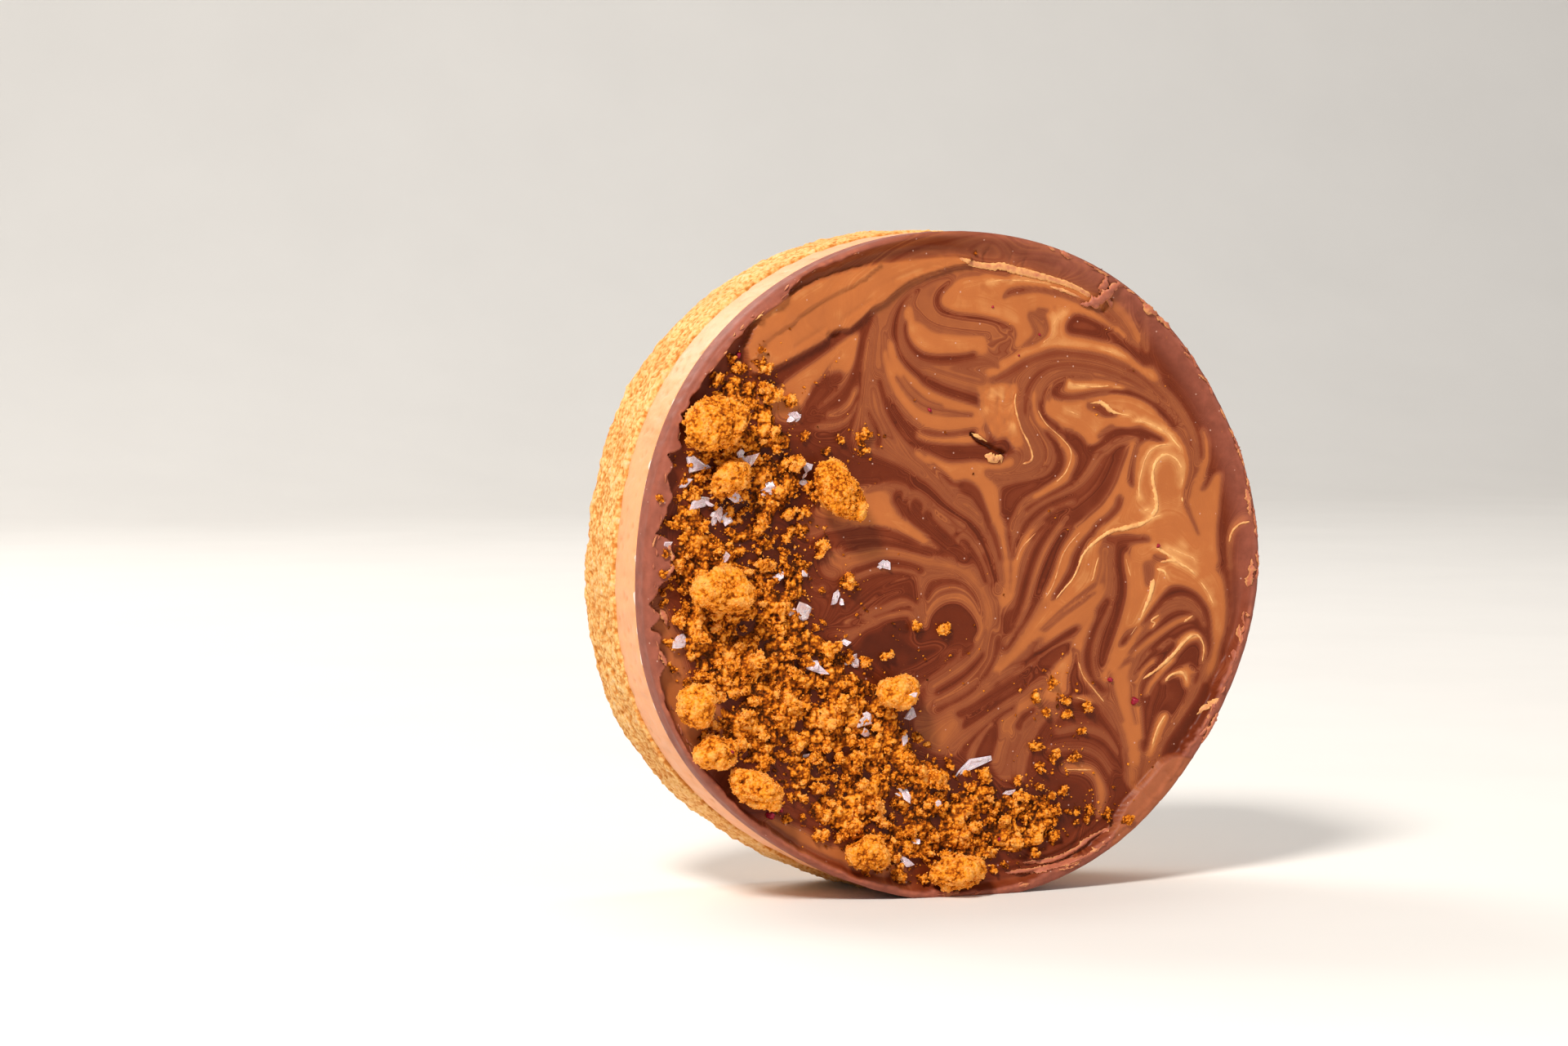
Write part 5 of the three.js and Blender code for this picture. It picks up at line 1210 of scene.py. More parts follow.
class Ground:
    """Finds how far pieces reach in front of the face."""

    def __init__(self, *names):
        self.trees = []
        for name in names:
            piece = bpy.data.objects.get(name)
            if piece is None:
                raise RuntimeError(f"{name} isn't made yet")
            piece.data.calc_loop_triangles()
            points = read(piece.data.vertices, "co")
            triangles = read(piece.data.loop_triangles, "vertices", np.int32)
            self.trees.append(BVHTree.FromPolygons(points.tolist(), triangles.tolist()))

    def front(self, x, z):
        best = float(face(x, z))
        start = Vector(((x + SIT[0]) * MM, RAY_START, (z + CENTRE_HEIGHT) * MM))
        for tree in self.trees:
            hit = tree.ray_cast(start, Vector((0, 1, 0)))[0]
            if hit is not None:
                best = min(best, hit.y / MM - SIT[1])
        return best

    def over(self, x, z, reach):
        """The second foremost of the five fronts found round a place."""
        spots = [(0, 0), (1, 0), (-1, 0), (0, 1), (0, -1)]
        return float(np.sort([self.front(x + a * reach, z + b * reach) for a, b in spots])[1])


# ---- Finishes of the pieces ----


def chocolate_finish():
    c = colours()
    f = Finish("marbled chocolate", Specular_IOR_Level=0.14)
    tone, rim = f.value("tone"), f.value("rim")
    for times, high in STREAKS:
        along = f.math("MULTIPLY", f.value("flow"), times)
        inputs = {"W": along, "Scale": 1.0, "Detail": 2.0, "Roughness": 0.5}
        streaks = f.add("TexNoise", inputs, noise_dimensions="1D").outputs["Fac"]
        fading = f.span(tone, 0.5, 0.95, high, 0.03)
        tone = f.math("ADD", tone, f.math("MULTIPLY", f.span(streaks, 0.25, 0.75, -1.0, 1.0), fading))
    tone = f.math("ADD", tone, f.uneven(2.6, -0.05, 0.05))
    # The first stop, darker than the dark chocolate, takes the darkest streaks and the painted shade of
    # crumbs and gouge.
    stops = [(0.02, c.dark * 0.42), (0.2, c.dark), (0.31, c.deep), (0.45, c.middle)]
    stops += [(0.6, mix(c.middle, c.caramel, 0.7)), (0.7, c.caramel), (0.86, c.bright)]
    shade = f.ramp(f.span(tone, -0.4, 1.6), stops)
    plain = f.blend(f.span(f.noise(1.3, 4.0), 0.35, 0.7), c.rim * 0.82, c.rim * 1.12)
    # The rim's colour on its land, and as painted sheen on the smooth slope at the right.
    shade = f.blend(rim, shade, plain)
    # The lip along the inside of the rim: torn chocolate, partly painted highlight on its upturned edge.
    shade = f.blend(f.value("lip"), shade, f.blend(f.uneven(0.7), c.torn, c.rim))
    shade = f.blend(f.span(f.noise(0.35, 2.0), 0.68, 0.8, 0.0, 0.35), shade, c.caramel)
    shade = f.blend(f.span(f.specks(1.6), 0.045, 0.075, 0.8, 0.0), shade, mix(c.caramel, 1.0, 0.25))
    f.colours(f.blend(f.span(f.noise(9.0), 0.35, 0.65, 0.0, 0.12), shade, c.dark * 0.7))
    f.roughness(f.math("ADD", f.uneven(1.8, 0.34, 0.46), f.math("MULTIPLY", rim, 0.12)))
    f.bump(f.math("ADD", f.noise(0.7, 4.0), f.math("MULTIPLY", f.noise(5.0), 1.5)), 0.035, 0.8)
    return f.material


def ridge_finish():
    c = colours()
    f = Finish("pale ridge", Specular_IOR_Level=0.35)
    level = f.math("ADD", f.value("tone"), f.uneven(0.8, -0.14, 0.14))
    level = f.math("DIVIDE", level, 1.35, clamp=True)
    # The ridges run from caramel to bright caramel, the bright end partly painted highlight on their crests.
    f.colours(f.ramp(level, [(0.68, c.caramel), (0.93, c.bright)]))
    f.roughness(f.uneven(0.8, 0.34, 0.5))
    f.bump(f.noise(0.3), 0.03, 0.7)
    return f.material


def shaving_finish():
    c = colours()
    f = Finish("torn chocolate", Specular_IOR_Level=0.3)
    level = f.math("ADD", f.value("tone"), f.uneven(0.6, -0.12, 0.12, 4.0))
    f.colours(f.ramp(level, [(0.0, c.deep), (0.3, c.rim), (0.62, c.torn), (1.0, c.bright)]))
    f.roughness(f.uneven(0.8, 0.42, 0.6))
    f.bump(f.noise(0.25, 4.0), 0.05, 0.8)
    return f.material


def baked_level(f, grain, cell, gap_shade):
    """A baked surface's shade, with painted shade between its grains, and the field that these come from."""
    level = f.math("ADD", f.value("shade"), f.uneven(grain, -0.2, 0.2, 4.0, 0.65))
    cells = f.specks(cell)
    return f.math("ADD", level, f.span(cells, 0.25, 0.75, 0.1, gap_shade)), cells


def crumb_finish(name):
    c = colours()
    f = Finish(name, Specular_IOR_Level=0.1)
    level, cells = baked_level(f, 0.5, 0.4, -0.24)
    # The ramp runs from painted shadow in the near-black creases through the crumbs' browns to gold,
    # the gold partly painted highlight on the raised, lit tops.
    brown, gold_and_highlight = c.crumb_deep, mix(c.crumb, np.array((1.0, 0.62, 0.2)), 0.4)
    stops = [(0.0, brown * 0.14), (0.14, brown * 0.4), (0.36, brown), (0.6, c.crumb), (1.0, gold_and_highlight)]
    f.colours(f.ramp(level, stops))
    f.roughness(f.uneven(0.4, 0.62, 0.85))
    f.bump(f.math("SUBTRACT", f.noise(0.26, 4.0, 0.65), cells), 0.18)
    return f.material


def caramel_finish():
    c = colours()
    f = Finish("set caramel", Specular_IOR_Level=0.4, Subsurface_Weight=0.12, Subsurface_Scale=0.0015)
    drawn = f.add("Mapping", {"Vector": f.place, "Scale": (1.0, 0.35, 1.0)}).outputs[0]
    streaks = f.noise(3.0, 4.0, place=drawn)
    level = f.math("ADD", f.value("shade"), f.span(streaks, 0.3, 0.7, -0.14, 0.14))
    chalk = mix(c.layer, 1.0, 0.45)
    shade = f.ramp(level, [(0.0, c.layer_deep), (0.5, c.layer), (0.85, c.layer), (1.0, chalk)])
    f.colours(f.blend(f.span(f.specks(0.8), 0.0, 0.11, 0.4, 0.0), shade, c.biscuit))
    f.roughness(f.span(streaks, 0.3, 0.7, 0.38, 0.58))
    f.bump(f.math("ADD", f.noise(0.5), f.math("MULTIPLY", streaks, 2.0)), 0.06, 0.8)
    return f.material


def biscuit_finish():
    c = colours()
    f = Finish("baked shortbread", Specular_IOR_Level=0.2)
    level, cells = baked_level(f, 0.6, 0.5, -0.18)
    # The pale stop is partly painted highlight on the raised grains.
    deep, pale = c.biscuit_deep, mix(c.biscuit, 1.0, 0.22)
    shade = f.ramp(level, [(0.0, deep * 0.7), (0.3, deep), (0.62, c.biscuit), (1.0, pale)])
    f.colours(f.blend(f.span(f.noise(7.0), 0.4, 0.7, 0.0, 0.35), shade, deep))
    f.roughness(f.uneven(0.5, 0.7, 0.9))
    f.bump(f.math("SUBTRACT", f.noise(0.25, 4.0, 0.65), cells), 0.16, 0.9)
    return f.material


def salt_finish():
    f = Finish("salt", Specular_IOR_Level=0.6, Transmission_Weight=0.35, IOR=1.45)
    f.set(Subsurface_Weight=0.1, Subsurface_Scale=0.001)
    salt = colours().salt
    f.colours(f.blend(f.uneven(0.7), salt, salt * (0.86, 0.78, 0.84)))
    f.roughness(f.uneven(0.5, 0.16, 0.4))
    f.bump(f.noise(0.3), 0.05, 0.8)
    return f.material


def berry_finish():
    f = Finish("dried berry", Specular_IOR_Level=0.4)
    berry = colours().berry
    f.colours(f.blend(f.uneven(0.3), berry, berry * 0.35))
    f.roughness(f.uneven(0.4, 0.3, 0.6))
    f.bump(f.noise(0.2), 0.05, 0.8)
    return f.material


# ---- Operators ----


class COOKIE_OT_stage(bpy.types.Operator):
    """Adds the floor, the soft lights and the camera"""

    bl_idname = "cookie.stage"
    bl_label = "Stage"

    def execute(self, context):
        scene = context.scene
        scene.view_settings.view_transform = "Standard"
        self.add_camera(scene)
        self.add_floor(scene)
        for name, *light in LIGHTS:
            self.add_light(scene, name, *light)
        world = bpy.data.worlds.new("studio")
        world.use_nodes = True
        background = world.node_tree.nodes["Background"]
        background.inputs["Color"].default_value = (0.86, 0.87, 0.9, 1)
        background.inputs["Strength"].default_value = 0.3
        scene.world = world
        return {"FINISHED"}

    def add_camera(self, scene):
        """The photograph's view: its middle lies left of the round's centre and a little above it."""
        angle, rise = math.radians(VIEW_TURN), math.radians(VIEW_RISE)
        back = Vector((math.sin(angle) * math.cos(rise), -math.cos(angle) * math.cos(rise), math.sin(rise)))
        right = Vector((math.cos(angle), math.sin(angle), 0))
        up = back.cross(right)
        target = Vector(CENTRE) * MM - right * VIEW_LEFT * MM + up * VIEW_UP * MM
        camera = bpy.data.objects.new("camera", bpy.data.cameras.new("camera"))
        camera.data.lens, camera.data.sensor_width = LENS, 36.0
        camera.data.clip_start, camera.data.clip_end = 0.01, 20.0
        turn = Matrix((right, up, back)).transposed().to_4x4()
        camera.matrix_world = Matrix.Translation(target + back * (VIEW_DISTANCE * MM)) @ turn
        scene.collection.objects.link(camera)
        scene.camera = camera

    def add_floor(self, scene):
        """A floor that bends up behind the round."""
        mesh = bpy.data.meshes.new("floor")
        depth, width, rise, bend = 0.9, 3.0, 1.6, 0.35
        turns = np.linspace(0.1, math.pi / 2, 14)
        profile = [(-2.5, 0.0), (depth, 0.0)]
        profile += [(depth + bend * math.sin(a), bend * (1 - math.cos(a))) for a in turns]
        profile.append((depth + bend, rise))
        points = [(x, y, z) for y, z in profile for x in (-width, width)]
        faces = [(2 * i, 2 * i + 1, 2 * i + 3, 2 * i + 2) for i in range(len(profile) - 1)]
        mesh.from_pydata(points, [], faces)
        mesh.polygons.foreach_set("use_smooth", [True] * len(faces))
        floor = bpy.data.objects.new("floor", mesh)
        scene.collection.objects.link(floor)
        f = Finish("floor", Roughness=0.7, Specular_IOR_Level=0.25)
        shade = colours().floor
        f.colours(f.blend(f.uneven(60.0), shade, shade * 0.97))
        floor.data.materials.append(f.material)

    def add_light(self, scene, name, place, size, power, tint, target):
        data = bpy.data.lights.new(name, "AREA")
        data.shape, data.size, data.energy, data.color = "DISK", size, power, tint
        light = bpy.data.objects.new(name, data)
        light.location = place
        aim = Vector(target) - Vector(place)
        light.rotation_euler = aim.to_track_quat("-Z", "Y").to_euler()
        scene.collection.objects.link(light)


class COOKIE_OT_chocolate(bpy.types.Operator):
    """Makes the marbled chocolate top with its torn rim, laps and folds"""

    bl_idname = "cookie.chocolate"
    bl_label = "Marbled chocolate"

    def execute(self, context):
        parts = sizes().face_grid // 4 * 4
        x, z, faces, edge = disc_grid(parts, FACE_GRID_RADIUS)
        count = 4 * parts
        angle = edge_angles(count)
        degrees = np.degrees(angle)
        rim_radius = outline(angle)
        shares = np.linspace(0, 1, RIM_RINGS + 1)[1:]
        reach = np.stack([mix(FACE_GRID_RADIUS, rim_radius, s) for s in shares])
        x = np.concatenate([x, (reach * np.cos(angle)).ravel()])
        z = np.concatenate([z, (reach * np.sin(angle)).ravel()])
        y, values = self.relief(x, z)
        front = np.stack([x, y, z], 1)
        strip, index = stacked_rings(RIM_RINGS, count, len(x) - reach.size)
        faces = np.concatenate([faces, ring_faces(edge, index[0]), strip])

        walls = []
        for s in np.linspace(0, 1, WALL_RINGS + 1)[1:]:
            wall_y = mix(y[index[-1]], CHOCOLATE_THICKNESS, s)
            q = on_ring(rim_radius, wall_y, angle)
            streak = noise(degrees / 1.3, s * 0.8, 5.0) + 0.6 * rough(q, 1.2, 3, 3.0)
            r = rim_radius + 0.09 * streak * math.sin(math.pi * min(s * 1.2, 1)) - 0.25 * (s > 0.99)
            walls.append(on_ring(r, wall_y, angle))
        side = np.concatenate(walls)
        wall_faces, wall_index = stacked_rings(WALL_RINGS, count, len(front))
        centre = len(front) + len(side)
        back = fan(wall_index[-1], centre, behind=True)
        faces = np.concatenate([faces, ring_faces(index[-1], wall_index[0]), wall_faces])
        points = np.concatenate([front, side, [(0, CHOCOLATE_THICKNESS, 0)]])
        quads = faces[(faces < len(front)).all(1)]
        for key in ("tone", "flow"):
            values[key] = soften(values[key], quads, 2)
        tone = values["tone"]
        values["tone"] = tone - STEEPENING * np.sin(4 * math.pi * np.clip(tone, 0, 1)) / (4 * math.pi)
        for key, at_side in (("tone", 0.2), ("flow", 0), ("rim", 1), ("lip", 0)):
            values[key] = np.concatenate([values[key], np.full(len(side) + 1, float(at_side))])
        maker = MeshMaker()
        maker.add(points, (faces, back), **values)
        piece = maker.make("marbled_chocolate", chocolate_finish(), ["chocolate_top"])
        self.unwrap(piece, len(front), centre)
        return {"FINISHED"}

    def relief(self, x, z):
        """The face's depth at places, and the values that its finish reads."""
        places, q = np.stack([x, z], 1), flat(x, z)
        angle = np.arctan2(z, x)
        degrees = np.degrees(angle)
        turned = degrees % 360
        from_edge = outline(angle) - np.hypot(x, z)
        y = face(x, z)
        tone, flow = marbling(places)
        wide, slope = rim_widths(degrees)
        down = (from_edge - wide) / slope
        land = 1 - step(0.05, 0.3, down)

        # A plain dark tone on the band along the top and on the slope inside the rim from the upper left
        # round by the bottom:
        # the slope's dark chocolate, painted darker as shade in the recess inside the rim.
        band = 1 - step(2.9, 3.4, from_edge + 0.3 * noise(degrees / 5, 1.0, 1.0))
        band = band * between(degrees, 58, 64, 128, 136)
        wall = step(0.05, 0.3, down) * (1 - step(1.0, 1.5, down)) * step(96, 120, turned)
        plain = 0.22 + 0.14 * band + 0.08 * noise(degrees / 3, from_edge * 2, 0.0)
        tone = mix(tone, plain, np.maximum(band, wall) * (1 - land))
        # At the right the smooth slope up to the edge takes much of the rim's mauve colour: painted sheen
        # over its dark chocolate.
        slope_sheen = (1 - step(1.2, 3.8, from_edge)) * between(degrees, -20, 0, 66, 96)
        land = np.maximum(land * (1 - 0.6 * between(degrees, 60, 90, 96, 110)), 0.7 * slope_sheen)
        y = y + land * (0.04 * rough(q, 0.9) + 0.04 * noise(degrees * 1.1, from_edge * 1.4, 2.0))
        # The lip stands up along the torn inner edge; the finish paints it in the torn colour,
        # partly the torn chocolate's own and partly painted highlight on the upturned edge.
        lip = np.exp(-(((from_edge - wide + 0.08) / 0.2) ** 2)) * between(turned, 106, 112, 350, 354)
        lip = lip * (0.75 + 0.6 * noise(degrees / 0.8, 3.0, 3.0))
        y = y - LIP_HEIGHT * lip

        for text, _, plain in LAPS:
            share = cover(places, text, 0.3)
            y = y - 0.14 * share * (1 - share) * 4 + share * 0.06 * rough(q, 2.4, 2, 9.0)
            # A lap's tone rises along its edge: painted highlight on its raised lip.
            edged = 0.92 + 0.1 * noise(x / 3, 1.0, z / 3) + 0.5 * share * (1 - share)
            tone, land, lip = mix(tone, edged, share), mix(land, plain, share), lip * (1 - share)
        y = y - sizes().marbling_relief * np.clip(tone, 0, 1.2) * (1 - land)
        # Round each pale ridge the tone is raised, a painted sheen on its flanks, and the face stands up a
        # little.
        for (level, half, *_), path in strokes(RIDGES):
            path = smooth_path(path)
            near = near_path(places, path, 1.5)
            halo = np.exp(-((distance(places[near], path) / (half + 0.2)) ** 2))
            tone[near] = tone[near] + halo * (0.3 * level - 0.2)
            y[near] = y[near] - 0.12 * half * halo
        for (deep, half), path in strokes(CREASES):
            y = y + deep * (1 - step(0.2 * half, 1.6 * half, distance(places, smooth_path(path))))
        scrape = cover(places, SCRAPE, 0.7)
        y = y + scrape * (0.12 + 0.2 * (0.33 - crumbly(q, 0.9, 4.0)))
        tone = mix(tone, 1.08 + 0.2 * noise(x * 1.4, 2.0, z * 2.2), 0.85 * scrape)
        # Under the crescent the chocolate is painted darker: painted shade between and under the crumbs.
        across, along = crescent_share(x, z)
        shade_under_crumbs = between(across, -0.12, 0.2, 0.76, 0.94) * between(along, 0, 0.1, 0.9, 1)
        tone = tone - shade_under_crumbs * (0.3 + 0.25 * tone)
        # The gouge is cut in and painted darker than the darkest chocolate: painted shade in its hollow.
        from_gouge = distance(places, smooth_path(numbers(GOUGE))) + 0.12 * rough(q, 0.7, 2, 5.0)
        slot = 1 - step(0.16, 0.4, from_gouge)
        y, tone = y + GOUGE_DEPTH * slot, mix(tone, -0.1, slot)
        return y, {"tone": tone, "flow": flow, "rim": np.clip(land, 0, 1), "lip": np.clip(lip, 0, 1)}

    def unwrap(self, piece, front_count, centre):
        """Gives the face most of the map, the side a ring round it and the back a corner."""
        mesh = piece.data
        co = read(mesh.vertices, "co") / MM - CENTRE
        angle, reach = np.arctan2(co[:, 2], co[:, 0]), np.hypot(co[:, 0], co[:, 2])
        side = np.arange(len(co)) >= front_count
        in_side = 0.452 + 0.042 * np.clip(co[:, 1] / CHOCOLATE_THICKNESS, 0, 1)
        out = np.where(side, in_side, reach / WIDEST * 0.45)
        place = np.stack([0.5 + out * np.cos(angle), 0.5 + out * np.sin(angle)], 1)
        corners = read(mesh.loops, "vertex_index", np.int32, 1)[:, 0]
        uv = place[corners]
        total = read(mesh.polygons, "loop_total", np.int32, 1)[:, 0]
        owner = np.repeat(np.arange(len(total)), total)
        is_back = np.zeros(len(total), bool)
        is_back[owner[corners == centre]] = True
        back = is_back[owner]
        uv[back] = (0.05 + co[:, [0, 2]] / WIDEST * 0.04)[corners[back]]
        layer = mesh.uv_layers.new(name="OFBake")
        layer.data.foreach_set("uv", uv.astype(np.float32).ravel())


class COOKIE_OT_ridges(bpy.types.Operator):
    """Lays the thin pale ridges on the marbling"""

    bl_idname = "cookie.ridges"
    bl_label = "Pale ridges"

    def execute(self, context):
        rng = np.random.default_rng(11)
        maker = MeshMaker()
        height = sizes().ridge_height
        for (tone, *halves), path in strokes(RIDGES):
            tall = height * min(max(halves) / 0.2, 1.4)
            ribbon(maker, path, halves + halves[-1:], tall, rng, 0.16, -0.2, tone)
        maker.make("pale_ridges", ridge_finish())
        return {"FINISHED"}


class COOKIE_OT_shavings(bpy.types.Operator):
    """Adds the curl, the torn bits and the wisps on the rim"""

    bl_idname = "cookie.shavings"
    bl_label = "Rim shavings"

    def execute(self, context):
        rng = np.random.default_rng(23)
        maker = MeshMaker()
        for (tone, half, thick, lift, rag), path in strokes(SHAVINGS):
            halves = [0.5 * half, half, 0.9 * half, 0.5 * half]
            ribbon(maker, path, halves, thick, rng, rag, 0.3, tone, lift)
        for start, end, count, depth, size in TORN_EDGES:
            for _ in range(count):
                turn = math.radians(rng.uniform(start, end))
                reach = float(outline(turn)) - depth * rng.uniform(0.8, 1.2)
                long, lean = rng.uniform(0.4, 1.5) * size, turn + math.pi / 2 + rng.normal() * 0.15
                middle = np.array([math.cos(turn), math.sin(turn)]) * reach
                way = np.array([math.cos(lean), math.sin(lean)]) * long
                path = [middle - way, middle + rng.normal(size=2) * 0.08, middle + way]
                half = rng.uniform(0.1, 0.24) * size
                lift, tone = rng.uniform(0.04, 0.2), rng.uniform(0.35, 0.7)
                ribbon(maker, path, [half * 0.6, half, half * 0.8], 0.16, rng, 0.35, 0.25, tone, lift)
        maker.make("rim_shavings", shaving_finish())
        return {"FINISHED"}


class COOKIE_OT_caramel(bpy.types.Operator):
    """Makes the layer of set caramel behind the chocolate"""

    bl_idname = "cookie.caramel"
    bl_label = "Caramel layer"

    def execute(self, context):
        count, rings = 900, 26
        angle = np.arange(count) * 2 * math.pi / count
        degrees = np.degrees(angle)
        points, shade = [], []
        for s in np.linspace(0, 1, rings):
            y = mix(CARAMEL_FRONT, CARAMEL_BACK, s)
            q = on_ring(RADIUS, y, angle)
            drag = noise(degrees / 2.1, y * 0.25, 3.0) + 0.5 * noise(degrees / 0.8, y * 0.3, 6.0)
            pits = np.clip(0.34 - nodules(q, 1.7, 5), 0, 1)
            r = outline(angle) - 0.05 + 0.05 * drag + 0.06 * rough(q, 1.4, 3, 7.0) - 0.5 * pits
            r = r - 0.22 * (1 - math.sin(math.pi * s) ** 0.35)
            points.append(on_ring(r, y, angle))
            chalky = np.exp(-(y - CARAMEL_FRONT) / 0.3) * step(-0.2, 0.5, noise(degrees / 1.6, 1.0, 9.0))
            # The caramel is darker in its pits and where its drags run low, and chalky near the chocolate.
            shade.append(np.clip(0.5 + 0.16 * drag - 1.2 * pits, 0, 0.8) + 0.9 * chalky)
        faces, index = stacked_rings(rings, count, 0)
        points = np.concatenate(points + [[(0, CARAMEL_FRONT, 0), (0, CARAMEL_BACK, 0)]])
        front, back = fan(index[0], rings * count), fan(index[-1], rings * count + 1, behind=True)
        maker = MeshMaker()
        maker.add(points, (faces, front, back), shade=np.concatenate(shade + [[0, 0]]))
        maker.make("caramel_band", caramel_finish(), ["caramel_layer"])
        return {"FINISHED"}


class COOKIE_OT_shortbread(bpy.types.Operator):
    """Makes the crumbly shortbread base"""

    bl_idname = "cookie.shortbread"
    bl_label = "Shortbread base"

    def execute(self, context):
        count = 960
        x, z, sheet, edge = disc_grid(count // 8, BACK_GRID_RADIUS)
        angle = edge_angles(count)
        radius = outline(angle)
        straight = BASE_BACK - BACK_ROUNDING
        rings = [(mix(BASE_FRONT, straight, s), radius) for s in np.linspace(0, 1, 41)]
        for turn in np.linspace(0, math.pi / 2, 9)[1:]:
            y = straight + BACK_ROUNDING * math.sin(turn)
            rings.append((y, radius - BACK_ROUNDING * (1 - math.cos(turn))))
        for s in np.linspace(0, 1, 5)[1:-1]:
            rings.append((BASE_BACK, mix(radius - BACK_ROUNDING, BACK_GRID_RADIUS, s)))
        back = np.stack([x, np.full(len(x), BASE_BACK), z], 1)
        q = np.concatenate([on_ring(r, y, angle) for y, r in rings] + [back])
        away = flat(q[:, 0], q[:, 2])
        away /= np.maximum(np.linalg.norm(away, axis=1), 1e-6)[:, None]
        rear = step(straight, BASE_BACK, q[:, 1])[:, None]
        out = away * np.sqrt(1 - rear**2) + np.array([0, 1, 0]) * rear
        relief = crumbly(q, sizes().biscuit_grain, 1.0)
        crag = rough(q, 3.4, 3, 2.0)
        pits = np.clip(0.36 - nodules(q, 1.3, 3), 0, 1) * step(-0.3, 0.3, noise(*(q / 3).T))
        height = 0.4 * relief + 0.2 * crag - 1.3 * pits + 0.08
        height = height * step(BASE_FRONT - 0.01, BASE_FRONT + 0.3, q[:, 1])
        points = q + out * height[:, None]
        points[:, 1] = np.clip(points[:, 1], BASE_FRONT, BASE_BACK + 0.35)
        # Painted light and shade: lighter on the raised grains, darker in the pits, whose orange is partly
        # their own and partly painted shade.
        shade = np.clip(0.36 + 0.62 * relief + 0.06 * crag - 1.3 * pits, 0, 1)

        faces, index = stacked_rings(len(rings), count, 0)
        sheet = sheet[:, ::-1] + len(rings) * count
        outer, within = index[-1], edge + len(rings) * count
        joint = np.stack([outer[1::2], within, np.roll(within, -1), np.roll(outer[::2], -1)], 1)
        wedges = np.stack([outer[::2], within, outer[1::2]], 1)
        front = fan(index[0], len(points))
        points = np.concatenate([points, [(0, BASE_FRONT, 0)]])
        faces = np.concatenate([faces, joint, sheet])
        maker = MeshMaker()
        maker.add(points, (faces, front, wedges), shade=np.concatenate([shade, [0.5]]))
        maker.make("shortbread", biscuit_finish(), ["shortbread_base"])
        return {"FINISHED"}


def crescent_share(x, z):
    """How far across the crescent a place lies, from 0 inside to 1 outside, and how far along it."""
    angle = np.degrees(np.arctan2(z, x)) % 360
    at, inner, outer = np.array(CRESCENT).T
    low, high = np.interp(angle, at, inner), np.interp(angle, at, outer)
    return (np.hypot(x, z) - low) / (high - low), (angle - at[0]) / (at[-1] - at[0])


def pile(x, z):
    """Height of the bed of fine crumbs over the chocolate; below 0 the chocolate shows."""
    across, along = crescent_share(x, z)
    inside = between(across, -0.06, 0.16, 0.86, 1.05) * between(along, -0.01, 0.07, 0.9, 1.01)
    patchy = noise(x / 2.2, 4.0, z / 2.2) + 0.6 * noise(x / 1.0, 8.0, z / 1.0)
    dense = mix(0.3, 0.6, step(6, -12, z))
    return sizes().bed_height * (inside * (dense + 0.9 * patchy) - 0.15) - 0.9 * (1 - inside)


def remeshed(mesh, pitch, easing):
    """A mesh's surface in small even faces with its corners eased: points, normals and faces."""
    context = bpy.context
    copy = bpy.data.objects.new("rough", mesh)
    context.scene.collection.objects.link(copy)
    even = copy.modifiers.new("even", "REMESH")
    even.mode, even.voxel_size = "VOXEL", pitch * MM
    ease = copy.modifiers.new("ease", "SMOOTH")
    ease.factor, ease.iterations = 0.5, easing
    context.view_layer.update()
    fine = bpy.data.meshes.new_from_object(copy.evaluated_get(context.evaluated_depsgraph_get()))
    if not len(fine.vertices):
        raise RuntimeError("a remeshed surface came back empty")
    fine.calc_loop_triangles()
    co, out = (read(fine.vertices, key).astype(float) for key in ("co", "normal"))
    faces = read(fine.loop_triangles, "vertices", np.int32)
    bpy.data.objects.remove(copy)
    bpy.data.meshes.remove(mesh)
    bpy.data.meshes.remove(fine)
    return co, out, faces


def kept(points, faces, keep, shade):
    """Only the faces whose corners are all kept, with their points numbered anew."""
    faces = faces[keep[faces].all(1)]
    used = np.unique(faces)
    number = np.full(len(points), -1)
    number[used] = np.arange(len(used))
    return points[used], number[faces], shade[used]


